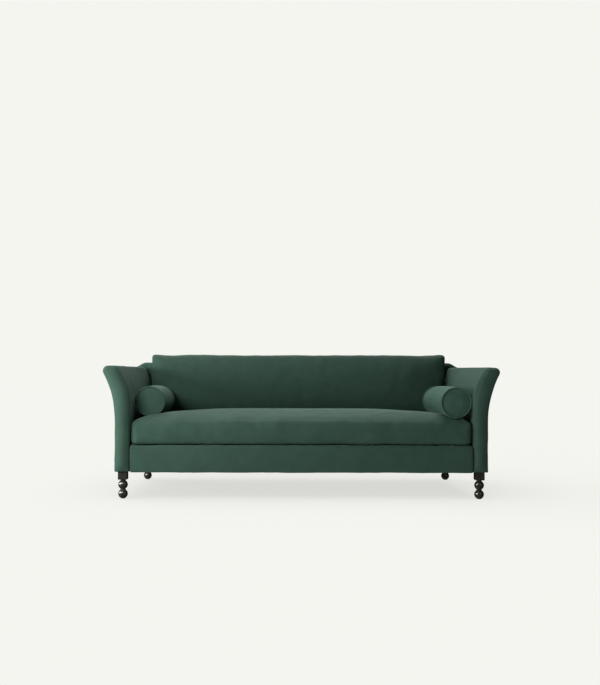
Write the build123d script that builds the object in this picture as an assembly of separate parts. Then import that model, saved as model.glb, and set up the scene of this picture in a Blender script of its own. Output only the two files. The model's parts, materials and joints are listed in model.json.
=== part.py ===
from build123d import *
import os
from math import asin, cos, degrees, radians, sin, sqrt, tan

# A three seat sofa with flared arms, one bench seat cushion, one long back cushion and two bolsters.
# Millimetres, the front faces -Y, the floor is at zero.

# Overall sizes
overall_width = 2286.0
overall_depth = 965.0
leg_height = 158.0
deck_height = 315.0
arm_height = 762.0

# Arms, measured over the fabric
arm_thickness = 84.0
arm_flare = 68.0
outer_flare_start = 455.0
inner_flare = 78.0
inner_flare_start = 545.0
arm_nose_radius = 17.0
arm_inner_radius = 20.0
arm_front_radius = 15.0
arm_top_rise = 14.0

# Upholstered back, its thickness taken at the deck and its rise above the arms
back_thickness = 165.0
back_rise = 28.0
shoulder_width = 40.0
back_rake = 7.0
back_top_radius = 30.0

# Layers
fabric_thickness = 2.5
padding_thickness = 16.0
outside_pad_thickness = 10.0
deck_pad_thickness = 14.0
burlap_thickness = 1.5
dust_cover_thickness = 1.2
webbing_thickness = 2.5
webbing_width = 60.0

# Front rail
rail_setback = 6.0
rail_pad_thickness = 20.0
rail_edge_radius = 14.0

# Wooden frame
rail_thickness = 28.0
post_depth = 50.0
top_rail_height = 60.0
tack_rail_height = 45.0
tack_rail_lift = 15.0
stretcher_height = 90.0
stretcher_count = 3
corner_block_size = 80.0
corner_block_height = 60.0
dowel_radius = 5.0
dowel_length = 56.0

# Springs
spring_count = 11
spring_bars = 18
spring_bar_half = 12.0
wire_radius = 1.9
clip_thickness = 1.2
clip_half_width = 9.0
clip_half_depth = 8.0

# Legs
leg_block_width = 52.0
ball_radius = 27.5
ball_pitch = 53.0
leg_neck_radius = 15.0
leg_neck_height = 3.0
leg_edge_radius = 2.0
glide_radius = 12.0
glide_height = 3.0
glide_seat_radius = 14.0
bolt_radius = 4.0
bolt_in_leg = 38.0
insert_radius = 7.0
insert_length = 30.0

# Seat cushion
seat_side_gap = 8.0
seat_front_setback = 3.0
seat_back_gap = 12.0
seat_boxing = 141.0
seat_crown = 48.0
seat_crown_run = 300.0
seat_crown_run_sideways = 620.0
seat_corner_radius = 32.0
seat_draw_in = 7.0

# Back cushion
back_cushion_side_gap = 15.0
back_cushion_height = 380.0
back_cushion_boxing = 118.0
back_cushion_crown = 56.0
back_cushion_crown_run = 150.0
back_cushion_crown_run_sideways = 430.0
back_cushion_corner_radius = 34.0
back_cushion_draw_in = 8.0
cushion_edge_radius = 14.0

# Bolsters
bolster_radius = 88.0
bolster_end_radius = 84.0
bolster_length = 500.0
bolster_dome = 8.0
bolster_taper = 70.0
piping_radius = 4.5
piping_bite = 1.4
right_bolster_turn = 1.5
right_bolster_setback = 18.0

# Zips
zip_share = 0.78
zip_tape_width = 16.0
zip_tape_thickness = 1.0
zip_chain_width = 5.0
zip_chain_height = 1.6
zip_stop_length = 4.0
slider_length = 14.0
slider_width = 9.4
slider_height = 3.8
pull_length = 22.0
pull_width = 6.0
pull_thickness = 1.0

# Clearances
hole_clearance = 0.1
slide_clearance = 0.35
core_clearance = 0.4
cushion_clearance = 0.4
bolster_clearance = 3.0
rest_clearance = 0.5
leg_clearance = 1.0
wire_clearance = 0.1
lay_clearance = 0.3

# Levels worked out from the sizes
front = -overall_depth / 2
rear = overall_depth / 2
deck_depth = overall_depth - back_thickness
arm_rear_height = arm_height + arm_top_rise
back_height = arm_rear_height + back_rise
half_width = overall_width / 2
outer_base = half_width - arm_flare
inner_base = outer_base - arm_thickness
arm_layer = fabric_thickness + padding_thickness
frame_bottom = leg_height + fabric_thickness
deck_cover_bottom = deck_height - fabric_thickness
deck_pad_bottom = deck_cover_bottom - deck_pad_thickness
burlap_bottom = deck_pad_bottom - burlap_thickness
clip_height = 2 * clip_thickness + 2 * wire_radius + 2 * wire_clearance
rail_top = burlap_bottom - lay_clearance - clip_height
rail_front = front + rail_setback + fabric_thickness + rail_pad_thickness
rail_rear = rail_front + rail_thickness
front_post_front = front + arm_layer
front_post_rear = front_post_front + post_depth
post_rear = rear - fabric_thickness - outside_pad_thickness
back_post_front = post_rear - post_depth
back_rail_rear = back_post_front + rail_thickness
back_pad_rear = back_post_front - 2 * webbing_thickness
tack_rail_thickness = 2 * clip_half_depth
tack_rear = back_post_front + tack_rail_thickness
back_rail_top = back_height - arm_layer
back_rail_bottom = back_rail_top - top_rail_height
tack_rail_bottom = deck_height + tack_rail_lift
tack_rail_top = tack_rail_bottom + tack_rail_height
rake = radians(back_rake)
post_center_x = (inner_base + outer_base) / 2
front_leg_y = front_post_front + post_depth / 2
rear_leg_y = post_rear - post_depth / 2
below_all = leg_height - 60.0
above_all = back_height + 120.0
beyond = 40.0


def block(x0, x1, y0, y1, z0, z1):
    center = Pos((x0 + x1) / 2, (y0 + y1) / 2, (z0 + z1) / 2)
    return center * Box(x1 - x0, y1 - y0, z1 - z0)


def rod(radius, start, direction, length):
    place = Plane(origin=start, z_dir=direction)
    return Solid.make_cylinder(radius, length, place)


def merged(shapes):
    return Compound([solid for shape in shapes for solid in shape.solids()])


def less(shape, *cutters):
    for cutter in cutters:
        shape = shape - cutter
    return shape


# The arm's outline in the plane of its front, as points of x and z
def arm_points(top, inset):
    nose = max(arm_nose_radius - inset, 1.5)
    inner_round = max(arm_inner_radius - inset, 1.5)
    outer_rise = top - arm_nose_radius - outer_flare_start
    outer_sum = (outer_rise**2 + arm_flare**2) / (2 * arm_flare)
    outer_radius = outer_sum - arm_nose_radius + inset
    outer_center = outer_base + outer_radius - inset
    inner_rise = top - arm_inner_radius - inner_flare_start
    inner_sum = (inner_rise**2 + inner_flare**2) / (2 * inner_flare)
    inner_radius = inner_sum + arm_inner_radius - inset
    inner_center = inner_base + inner_radius + inset
    level = top - inset
    lean = asin((level - nose - outer_flare_start) / (outer_radius + nose))
    tilt = asin((level - inner_round - inner_flare_start) / (inner_radius - inner_round))

    def on_outer(angle):
        return (outer_center - outer_radius * cos(angle), outer_flare_start + outer_radius * sin(angle))

    def on_inner(angle):
        return (inner_center - inner_radius * cos(angle), inner_flare_start + inner_radius * sin(angle))

    tip = on_outer(lean)
    nose_center = (tip[0] - nose * cos(lean), tip[1] + nose * sin(lean))
    crest = on_inner(tilt)
    round_center = (crest[0] + inner_round * cos(tilt), crest[1] - inner_round * sin(tilt))
    nose_middle = (radians(90) - lean) / 2
    round_middle = (radians(270) - tilt) / 2
    return {
        "outer_start": (outer_base - inset, outer_flare_start),
        "outer_middle": on_outer(lean / 2),
        "tip": tip,
        "nose_middle": (nose_center[0] + nose * cos(nose_middle), nose_center[1] + nose * sin(nose_middle)),
        "nose_top": (nose_center[0], level),
        "round_top": (round_center[0], level),
        "round_middle": (
            round_center[0] + inner_round * cos(round_middle),
            round_center[1] + inner_round * sin(round_middle),
        ),
        "crest": crest,
        "inner_middle": on_inner(tilt / 2),
        "inner_start": (inner_base + inset, inner_flare_start),
    }


def edge_at(y, *points):
    placed = [(x, y, z) for x, z in points]
    if len(placed) == 2:
        return Edge.make_line(*placed)
    return Edge.make_three_point_arc(*placed)


def arm_wire(y, top, inset, bottom):
    p = arm_points(top, inset)
    inner_foot = (inner_base + inset, bottom)
    outer_foot = (outer_base - inset, bottom)
    return Wire(
        [
            edge_at(y, inner_foot, outer_foot),
            edge_at(y, outer_foot, p["outer_start"]),
            edge_at(y, p["outer_start"], p["outer_middle"], p["tip"]),
            edge_at(y, p["tip"], p["nose_middle"], p["nose_top"]),
            edge_at(y, p["nose_top"], p["round_top"]),
            edge_at(y, p["round_top"], p["round_middle"], p["crest"]),
            edge_at(y, p["crest"], p["inner_middle"], p["inner_start"]),
            edge_at(y, p["inner_start"], inner_foot),
        ]
    )


# The arm's top rises along the seat and runs level beside the back
def arm_top(y):
    return arm_height + arm_top_rise * min((y - front) / deck_depth, 1.0)


# The right arm's form, drawn in by an inset all round and left open in height by its bottom
def arm_solid(inset, end, bottom):
    rounding = max(arm_front_radius - inset, 0.0)
    wires = []
    steps = (0, 30, 60, 90) if rounding > 1.0 else (90,)
    for step in steps:
        angle = radians(step)
        y = front + inset + rounding * (1 - cos(angle)) if rounding > 1.0 else front + inset
        extra = rounding * (1 - sin(angle))
        wires.append(arm_wire(y, arm_top(y), inset + extra, bottom))
    for y in (front + deck_depth, end):
        wires.append(arm_wire(y, arm_top(y), inset, bottom))
    return Solid.make_loft(wires, ruled=True)


def mirrored(shape):
    return mirror(shape, Plane.YZ)


# The round at each end of the back's top, from the arm's crest up to the level of the back
def shoulder():
    crest = arm_points(arm_rear_height, 0.0)["crest"]
    rise = back_height - crest[1]
    radius = (rise**2 + shoulder_width**2) / (2 * rise)
    return (crest[0] - shoulder_width, back_height - radius), radius


def shoulder_points(inset, level):
    center, radius = shoulder()
    reach = radius - inset
    lowest = asin((level - center[1]) / reach)
    angles = (lowest, (lowest + radians(90)) / 2, radians(90))
    return [(center[0] + reach * cos(angle), center[1] + reach * sin(angle)) for angle in angles]


def mirrored_plate(edges_right, y0, y1):
    left = [[(-x, z) for x, z in reversed(points)] for points in reversed(edges_right)]
    across_top = [edges_right[-1][-1], left[0][0]]
    across_foot = [left[-1][-1], edges_right[0][0]]
    outline = edges_right + [across_top] + left + [across_foot]
    return Solid.extrude(Face(Wire([edge_at(y0, *points) for points in outline])), (0, y1 - y0, 0))


# The back between the arms, drawn in at its top and let into the arms by a bite
def between_arms(inset, bite, y0, y1):
    p = arm_points(arm_rear_height, bite)
    center, radius = shoulder()
    crest = arm_points(arm_rear_height, 0.0)["crest"]
    fall = (crest[1] - center[1]) * (radius - inset) / radius
    turn = shoulder_points(inset, center[1] + fall)
    foot = (inner_base + bite, below_all)
    edges = [
        [foot, p["inner_start"]],
        [p["inner_start"], p["inner_middle"], p["crest"]],
        [p["crest"], turn[0]],
        turn,
    ]
    return mirrored_plate(edges, y0, y1)


# The outline of the whole sofa seen from behind
def back_plate(inset, bottom, y0, y1):
    p = arm_points(arm_rear_height, inset)
    turn = shoulder_points(inset, arm_rear_height - inset)
    foot = (outer_base - inset, bottom)
    edges = [
        [foot, p["outer_start"]],
        [p["outer_start"], p["outer_middle"], p["tip"]],
        [p["tip"], p["nose_middle"], p["nose_top"]],
        [p["nose_top"], turn[0]],
        turn,
    ]
    return mirrored_plate(edges, y0, y1)


# The raked back, from the deck to a rounded top
def back_wedge(inset, end, bottom):
    radius = back_top_radius - inset
    level = back_height - inset

    def raked(z):
        return front + deck_depth + inset / cos(rake) + (z - deck_height) * tan(rake)

    crest = level - radius * (1 - sin(rake))
    center = (raked(crest) + radius * cos(rake), crest - radius * sin(rake))
    middle = (radians(270) - rake) / 2
    low = (raked(bottom), bottom)
    points = [low, (raked(crest), crest)]
    points.append((center[0] + radius * cos(middle), center[1] + radius * sin(middle)))
    points.append((center[0], level))
    points.append((end, level))
    points.append((end, bottom))
    placed = [(-half_width, y, z) for y, z in points]
    edges = [
        Edge.make_line(placed[0], placed[1]),
        Edge.make_three_point_arc(placed[1], placed[2], placed[3]),
        Edge.make_line(placed[3], placed[4]),
        Edge.make_line(placed[4], placed[5]),
        Edge.make_line(placed[5], placed[0]),
    ]
    return Solid.extrude(Face(Wire(edges)), (overall_width, 0, 0))


# The front rail's section with a rounded top front edge, between the arms
def rail_wrap(inset, end):
    radius = rail_edge_radius - inset
    y = front + rail_setback + inset
    low = leg_height + inset
    high = deck_height - inset
    turn = radius * (1 - cos(radians(45)))
    points = [(end, low), (y, low), (y, high - radius), (y + turn, high - turn), (y + radius, high), (end, high)]
    placed = [(-inner_base, a, b) for a, b in points]
    edges = [
        Edge.make_line(placed[0], placed[1]),
        Edge.make_line(placed[1], placed[2]),
        Edge.make_three_point_arc(placed[2], placed[3], placed[4]),
        Edge.make_line(placed[4], placed[5]),
        Edge.make_line(placed[5], placed[0]),
    ]
    return Solid.extrude(Face(Wire(edges)), (2 * inner_base, 0, 0))


# A boxed cushion lying flat, its sides drawn in between rounded corners and its top crowned.
# Sizes gives width, depth, boxing, crown, run, run_sideways, corner and draw_in.
crown_shares = (0.0, 0.12, 0.28, 0.5, 0.75, 1.0)


def crown_rise(sizes, share):
    share = min(max(share, 0.0), 1.0)
    return sizes["crown"] * (1 - (1 - share) ** 2)


def cushion_levels(sizes):
    boxing = sizes["boxing"]
    roll = cushion_edge_radius
    band = zip_tape_width / 2 + 6.0
    levels = [
        (0.0, roll, roll),
        (roll * 0.3, roll * 0.3, roll * 0.3),
        (roll, 0.0, 0.0),
        (boxing / 2 - band, 0.0, 0.0),
        (boxing / 2 + band, 0.0, 0.0),
        (boxing - roll, 0.0, 0.0),
        (boxing - roll * 0.3, roll * 0.3, roll * 0.3),
    ]
    for share in crown_shares:
        rise = crown_rise(sizes, share)
        levels.append((boxing + rise, roll + sizes["run_sideways"] * share, roll + sizes["run"] * share))
    return levels


def cushion_wire(sizes, z, inset_x, inset_y, wall):
    half_x = sizes["width"] / 2 - inset_x - wall
    half_y = sizes["depth"] / 2 - inset_y - wall
    corner = min(sizes["corner"], half_x * 0.8, half_y * 0.8)
    draw_in = sizes["draw_in"]
    quarter = corner * (1 - cos(radians(45)))

    def line(a, b):
        return Edge.make_line((*a, z), (*b, z))

    def arc(a, b, c):
        return Edge.make_three_point_arc((*a, z), (*b, z), (*c, z))

    side = half_x - corner
    end = half_y - corner
    return Wire(
        [
            arc((-side, -half_y), (0.0, -half_y + draw_in), (side, -half_y)),
            arc((side, -half_y), (half_x - quarter, -half_y + quarter), (half_x, -end)),
            arc((half_x, -end), (half_x - draw_in / 2, 0.0), (half_x, end)),
            arc((half_x, end), (half_x - quarter, half_y - quarter), (side, half_y)),
            line((side, half_y), (-side, half_y)),
            arc((-side, half_y), (-half_x + quarter, half_y - quarter), (-half_x, end)),
            arc((-half_x, end), (-half_x + draw_in / 2, 0.0), (-half_x, -end)),
            arc((-half_x, -end), (-half_x + quarter, -half_y + quarter), (-side, -half_y)),
        ]
    )


def cushion_solid(sizes, wall):
    full = sizes["boxing"] + sizes["crown"]
    scale = (full - 2 * wall) / full
    wires = [
        cushion_wire(sizes, wall + z * scale, inset_x, inset_y, wall)
        for z, inset_x, inset_y in cushion_levels(sizes)
    ]
    return Solid.make_loft(wires, ruled=True)


# A bolster along Y, centred on the origin
def bolster_solid(wall):
    half = bolster_length / 2 - wall
    rim = half - bolster_dome
    end_radius = bolster_end_radius - wall
    radius = bolster_radius - wall
    straight = rim - bolster_taper
    dome_radius = (end_radius**2 + bolster_dome**2) / (2 * bolster_dome)
    dome_middle = half - (dome_radius - sqrt(dome_radius**2 - (end_radius / 2) ** 2))
    fall = radius - end_radius
    taper_radius = (bolster_taper**2 + fall**2) / (2 * fall)
    taper_middle = radius - (taper_radius - sqrt(taper_radius**2 - (bolster_taper / 2) ** 2))
    edges = [
        Edge.make_three_point_arc((0, -half, 0), (end_radius / 2, -dome_middle, 0), (end_radius, -rim, 0)),
        Edge.make_three_point_arc(
            (end_radius, -rim, 0), (taper_middle, -straight - bolster_taper / 2, 0), (radius, -straight, 0)
        ),
        Edge.make_line((radius, -straight, 0), (radius, straight, 0)),
        Edge.make_three_point_arc(
            (radius, straight, 0), (taper_middle, straight + bolster_taper / 2, 0), (end_radius, rim, 0)
        ),
        Edge.make_three_point_arc((end_radius, rim, 0), (end_radius / 2, dome_middle, 0), (0, half, 0)),
        Edge.make_line((0, half, 0), (0, -half, 0)),
    ]
    return Solid.revolve(Face(Wire(edges)), 360, Axis.Y)


def bolster_piping():
    reach = (piping_radius - piping_bite) * cos(radians(45))
    rim = bolster_length / 2 - bolster_dome + reach
    rings = []
    for end in (-1, 1):
        plane = Plane(origin=(0, end * rim, 0), z_dir=(0, 1, 0))
        rings.append(Solid.make_torus(bolster_end_radius + reach, piping_radius, plane))
    return rings


# A zip on a plane, which runs along the plane's x and faces along its normal
def zip_tape(plane, length):
    tape = block(-length / 2, length / 2, -zip_tape_width / 2, zip_tape_width / 2, 0, zip_tape_thickness)
    chain_top = zip_tape_thickness + zip_chain_height
    half_chain = zip_chain_width / 2
    tape = tape + block(-length / 2, length / 2, -half_chain, half_chain, zip_tape_thickness, chain_top)
    stop_half = half_chain + 1.0
    for end in (-1, 1):
        outer = end * length / 2
        inner = outer - end * zip_stop_length
        low, high = min(outer, inner), max(outer, inner)
        tape = tape + block(low, high, -stop_half, stop_half, zip_tape_thickness, chain_top + 0.6)
    return plane.location * tape


def zip_slider(plane, length):
    base = zip_tape_thickness + slide_clearance
    chain_top = zip_tape_thickness + zip_chain_height + slide_clearance
    top = base + slider_height
    start = -length / 2 + zip_stop_length + slide_clearance
    body = block(start, start + slider_length, -slider_width / 2, slider_width / 2, base, top)
    slot_half = zip_chain_width / 2 + slide_clearance
    body = body - block(start - 1, start + slider_length + 1, -slot_half, slot_half, base - 1, chain_top)
    pull_start = start + slider_length / 2
    half_pull = pull_width / 2
    pull = block(pull_start, pull_start + pull_length, -half_pull, half_pull, top, top + pull_thickness)
    return plane.location * (body + pull)


# One turned leg with its top at the frame and its foot on a glide
def leg_solid():
    ball_rise = sqrt(ball_radius**2 - leg_neck_radius**2)
    low_center = glide_height + sqrt(ball_radius**2 - glide_seat_radius**2)
    high_center = low_center + ball_pitch
    shoulder = high_center + ball_radius + leg_neck_height
    edges = [
        Edge.make_line((0, 0, glide_height), (glide_seat_radius, 0, glide_height)),
        Edge.make_three_point_arc(
            (glide_seat_radius, 0, glide_height),
            (ball_radius, 0, low_center),
            (leg_neck_radius, 0, low_center + ball_rise),
        ),
        Edge.make_line((leg_neck_radius, 0, low_center + ball_rise), (leg_neck_radius, 0, high_center - ball_rise)),
        Edge.make_three_point_arc(
            (leg_neck_radius, 0, high_center - ball_rise),
            (ball_radius, 0, high_center),
            (leg_neck_radius, 0, high_center + ball_rise),
        ),
        Edge.make_line((leg_neck_radius, 0, high_center + ball_rise), (leg_neck_radius, 0, shoulder)),
        Edge.make_line((leg_neck_radius, 0, shoulder), (0, 0, shoulder)),
        Edge.make_line((0, 0, shoulder), (0, 0, glide_height)),
    ]
    turned = Solid.revolve(Face(Wire(edges)), 360, Axis.Z)
    half = leg_block_width / 2
    top_block = block(-half, half, -half, half, shoulder, frame_bottom)
    top_block = fillet(top_block.edges().filter_by(Axis.Z), leg_edge_radius)
    top_block = chamfer(top_block.faces().sort_by(Axis.Z)[0].edges(), leg_edge_radius * 0.6)
    hole = rod(bolt_radius + hole_clearance, (0, 0, frame_bottom - bolt_in_leg - 2), (0, 0, 1), bolt_in_leg + 4)
    return turned + top_block - hole


# One sinuous spring from the front rail to the back rail
def spring_solid(x, y0, y1, z):
    pitch = (y1 - y0) / (spring_bars - 1)
    edges = []
    for bar in range(spring_bars):
        y = y0 + pitch * bar
        hand = 1 if bar % 2 == 0 else -1
        begin = (x - hand * spring_bar_half, y, z)
        finish = (x + hand * spring_bar_half, y, z)
        edges.append(Edge.make_line(begin, finish))
        if bar < spring_bars - 1:
            turn = (x + hand * (spring_bar_half + pitch / 2), y + pitch / 2, z)
            edges.append(Edge.make_three_point_arc(finish, turn, (finish[0], y + pitch, z)))
    path = Wire(edges)
    section = Face(Wire.make_circle(wire_radius, Plane(origin=(x - spring_bar_half, y0, z), z_dir=(1, 0, 0))))
    return Solid.sweep(section, path)


def clip_solid(x, y, hand):
    low, high = y - clip_half_depth, y + clip_half_depth
    outer = block(x - clip_half_width, x + clip_half_width, low, high, rail_top, rail_top + clip_height)
    slot_low = low + clip_thickness if hand > 0 else low - 1
    slot_high = high + 1 if hand > 0 else high - clip_thickness
    slot_top = rail_top + clip_height - clip_thickness
    wide = clip_half_width + 1
    return outer - block(x - wide, x + wide, slot_low, slot_high, rail_top + clip_thickness, slot_top)


nodes = {}

# Arms: the fabric, the padding and the hollow that holds the frame
arm_envelope = arm_solid(0.0, rear - fabric_thickness, leg_height)
arm_lining = arm_solid(fabric_thickness, rear + beyond, below_all)
arm_filling = arm_solid(fabric_thickness, post_rear, frame_bottom)
arm_hollow = arm_solid(arm_layer, rear + beyond, below_all)
arm_core = arm_solid(arm_layer, post_rear, frame_bottom)
lower_cut = block(
    inner_base - beyond, inner_base + arm_layer, front_post_front, rear + beyond, below_all, burlap_bottom
)

# Back frame
back_zone = between_arms(arm_layer, arm_layer, back_post_front, back_rail_rear)
back_top_rail = block(-half_width, half_width, back_post_front, back_rail_rear, back_rail_bottom, back_rail_top)
back_top_rail = back_top_rail & back_zone
core_inner = inner_base + arm_layer
back_tack_rail = block(-core_inner, core_inner, back_post_front, tack_rear, tack_rail_bottom, tack_rail_top)
outside_back_pad = back_plate(fabric_thickness, frame_bottom, post_rear, rear - fabric_thickness)
outside_back_cover = back_plate(0.0, leg_height, rear - fabric_thickness, rear)

arm_cover = less(arm_envelope, arm_lining, lower_cut, outside_back_pad, back_top_rail, back_tack_rail)
arm_pad = less(arm_filling, arm_hollow, lower_cut, back_top_rail, back_tack_rail)

# Upright and lengthwise members of an arm
right_front_post = arm_core & block(0, half_width, front_post_front, front_post_rear, below_all, above_all)
right_back_post = arm_core & block(0, half_width, back_post_front, post_rear, below_all, above_all)
arm_rail_bottom = arm_height - arm_layer - top_rail_height
arm_run = (front_post_rear, back_post_front)
right_arm_rail = arm_core & block(0, half_width, *arm_run, arm_rail_bottom, above_all)
right_side_rail = arm_core & block(0, half_width, *arm_run, below_all, rail_top)
tack_outer = core_inner + tack_rail_thickness
right_tack_rail = block(core_inner, tack_outer, *arm_run, tack_rail_bottom, tack_rail_top)

# Seat rails
front_seat_rail = block(-core_inner, core_inner, rail_front, rail_rear, frame_bottom, rail_top)
rear_seat_rail = block(-core_inner, core_inner, back_post_front, back_rail_rear, frame_bottom, rail_top)
stretchers = []
uprights = []
for place in range(stretcher_count):
    x = 2 * inner_base * ((place + 1) / (stretcher_count + 1) - 0.5)
    half = rail_thickness / 2
    stretcher_top = frame_bottom + stretcher_height
    stretchers.append(block(x - half, x + half, rail_rear, back_post_front, frame_bottom, stretcher_top))
    uprights.append(block(x - half * 2, x + half * 2, tack_rear, back_rail_rear, rail_top, back_rail_bottom))

corner_blocks = []
for side in (-1, 1):
    for edge_y, way in ((rail_rear, 1), (back_post_front, -1)):
        x = side * core_inner
        corner = [(x, edge_y), (x - side * corner_block_size, edge_y), (x, edge_y + way * corner_block_size)]
        outline = Wire.make_polygon([(a, b, frame_bottom) for a, b in corner])
        corner_blocks.append(Solid.extrude(Face(outline), (0, 0, corner_block_height)))

# Dowels across the frame's joints, and the holes that take them
rail_rise = rail_top - frame_bottom
dowels = []
holes = []


def add_dowel(center, direction):
    middle = Vector(*center)
    along = Vector(*direction)
    extra = lay_clearance
    dowels.append(rod(dowel_radius, middle - along * (dowel_length / 2), direction, dowel_length))
    hole_length = dowel_length + 2 * extra
    hole = rod(dowel_radius + hole_clearance, middle - along * (hole_length / 2), direction, hole_length)
    holes.append(hole)


for side in (-1, 1):
    for share in (0.38, 0.78):
        z = frame_bottom + rail_rise * share
        add_dowel((side * core_inner, (rail_front + rail_rear) / 2, z), (1, 0, 0))
        add_dowel((side * core_inner, (back_post_front + back_rail_rear) / 2, z), (1, 0, 0))
    for share in (0.58, 0.92):
        z = frame_bottom + rail_rise * share - dowel_radius
        add_dowel((side * post_center_x, front_post_rear, z), (0, 1, 0))
        add_dowel((side * post_center_x, back_post_front, z), (0, 1, 0))

frame_holes = merged(holes)

# Legs, their bolts, inserts and glides
leg = leg_solid()
leg_spots = {
    "front_left_leg": (-post_center_x, front_leg_y),
    "front_right_leg": (post_center_x, front_leg_y),
    "rear_left_leg": (-post_center_x, rear_leg_y),
    "rear_right_leg": (post_center_x, rear_leg_y),
}
bolts = []
inserts = []
insert_holes = []
glides = []
leg_notches = []
for name, (x, y) in leg_spots.items():
    nodes[name] = Pos(x, y, 0) * leg
    bolt_start = frame_bottom - bolt_in_leg
    bolts.append(rod(bolt_radius, (x, y, bolt_start), (0, 0, 1), bolt_in_leg + insert_length - 2))
    sleeve = rod(insert_radius, (x, y, frame_bottom), (0, 0, 1), insert_length)
    bore = rod(bolt_radius + hole_clearance, (x, y, frame_bottom - 1), (0, 0, 1), insert_length + 2)
    inserts.append(sleeve - bore)
    seat = rod(insert_radius + hole_clearance, (x, y, frame_bottom - 1), (0, 0, 1), insert_length + 1.2)
    insert_holes.append(seat)
    glides.append(rod(glide_radius, (x, y, 0), (0, 0, 1), glide_height))
    reach = leg_block_width / 2 + leg_clearance
    leg_notches.append(block(x - reach, x + reach, y - reach, y + reach, below_all, frame_bottom + 1))

insert_seats = merged(insert_holes)
right_front_post = less(right_front_post, frame_holes, insert_seats)
right_back_post = less(right_back_post, frame_holes, insert_seats)
right_side_rail = less(right_side_rail, frame_holes)
front_seat_rail = less(front_seat_rail, frame_holes)
rear_seat_rail = less(rear_seat_rail, frame_holes)

nodes["leg_bolts"] = merged(bolts)
nodes["leg_inserts"] = merged(inserts)
nodes["leg_glides"] = merged(glides)
nodes["frame_dowels"] = merged(dowels)
nodes["front_seat_rail"] = front_seat_rail
nodes["rear_seat_rail"] = rear_seat_rail
nodes["seat_stretchers"] = merged(stretchers)
nodes["corner_blocks"] = merged(corner_blocks)
nodes["back_top_rail"] = back_top_rail
nodes["back_tack_rail"] = back_tack_rail
nodes["back_uprights"] = merged(uprights)
nodes["arm_tack_rails"] = merged([right_tack_rail, mirrored(right_tack_rail)])
right_pieces = {
    "front_post": right_front_post,
    "back_post": right_back_post,
    "arm_rail": right_arm_rail,
    "side_rail": right_side_rail,
    "arm_pad": arm_pad,
    "arm_cover": arm_cover,
}
for name, piece in right_pieces.items():
    nodes["right_" + name] = piece
    nodes["left_" + name] = mirrored(piece)

# Springs and their clips
front_bar = (rail_front + rail_rear) / 2
rear_bar = back_post_front + clip_half_depth
wire_level = rail_top + clip_thickness + wire_clearance + wire_radius
springs = []
clips = []
for place in range(spring_count):
    x = 2 * inner_base * ((place + 0.5) / spring_count - 0.5)
    springs.append(spring_solid(x, front_bar, rear_bar, wire_level))
    clips.append(clip_solid(x, front_bar, 1))
    clips.append(clip_solid(x, rear_bar, -1))
nodes["seat_springs"] = merged(springs)
nodes["spring_clips"] = merged(clips)

# Seat deck, from the burlap up to its fabric
nodes["spring_cover"] = block(-inner_base, inner_base, rail_rear, tack_rear, burlap_bottom, deck_pad_bottom)
nodes["deck_pad"] = block(-inner_base, inner_base, rail_rear, back_pad_rear, deck_pad_bottom, deck_cover_bottom)
nodes["deck_cover"] = block(-inner_base, inner_base, rail_rear, back_pad_rear, deck_cover_bottom, deck_height)

# Front rail, padded and covered, with room above the wood for the clips
front_wrap = rail_wrap(0.0, rail_rear)
front_lining = rail_wrap(fabric_thickness, rail_rear + beyond)
nodes["front_rail_cover"] = front_wrap - front_lining
clip_room = block(-half_width, half_width, rail_front, rail_rear + beyond, below_all, burlap_bottom)
nodes["front_rail_pad"] = rail_wrap(fabric_thickness, rail_rear) - clip_room

# Back, its webbing, padding and covers
back_gap = between_arms(0.0, fabric_thickness, front, rear)
back_room = between_arms(fabric_thickness, arm_layer, front, rear)
left_envelope = mirrored(arm_envelope)
inside_back = back_wedge(0.0, rear - fabric_thickness, deck_height)
inside_lining = back_wedge(fabric_thickness, rear + beyond, below_all)
inside_back_cover = (inside_back & back_gap) - (inside_lining & back_room)
nodes["inside_back_cover"] = less(inside_back_cover, arm_envelope, left_envelope, outside_back_pad)
back_filling = back_wedge(fabric_thickness, post_rear, deck_height) & back_room & back_gap
frame_room = block(-half_width, half_width, back_pad_rear, rear + beyond, below_all, back_rail_top)
nodes["back_pad"] = less(back_filling, frame_room, arm_envelope, left_envelope)
nodes["outside_back_pad"] = outside_back_pad
nodes["outside_back_cover"] = outside_back_cover

straps = []
strap_count = 9
strap_front = back_post_front - webbing_thickness
for place in range(strap_count):
    x = 2 * inner_base * ((place + 0.5) / strap_count - 0.5)
    half = webbing_width / 2
    strap_low = tack_rail_bottom + tack_rail_height / 3
    strap_high = back_rail_top - top_rail_height / 3
    straps.append(block(x - half, x + half, strap_front, back_post_front, strap_low, strap_high))
cross_straps = []
for share in (0.35, 0.68):
    z = tack_rail_top + (back_rail_bottom - tack_rail_top) * share
    half = webbing_width / 2
    cross_straps.append(block(-inner_base, inner_base, back_pad_rear, strap_front, z - half, z + half))
webbing = straps[0]
for strap in straps[1:] + cross_straps:
    webbing = webbing + strap
nodes["back_webbing"] = webbing

# Dust cover under the frame
dust_half = outer_base - arm_layer
dust = block(-dust_half, dust_half, rail_rear, post_rear, frame_bottom - dust_cover_thickness, frame_bottom)
nodes["dust_cover"] = less(dust, *leg_notches)

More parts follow.
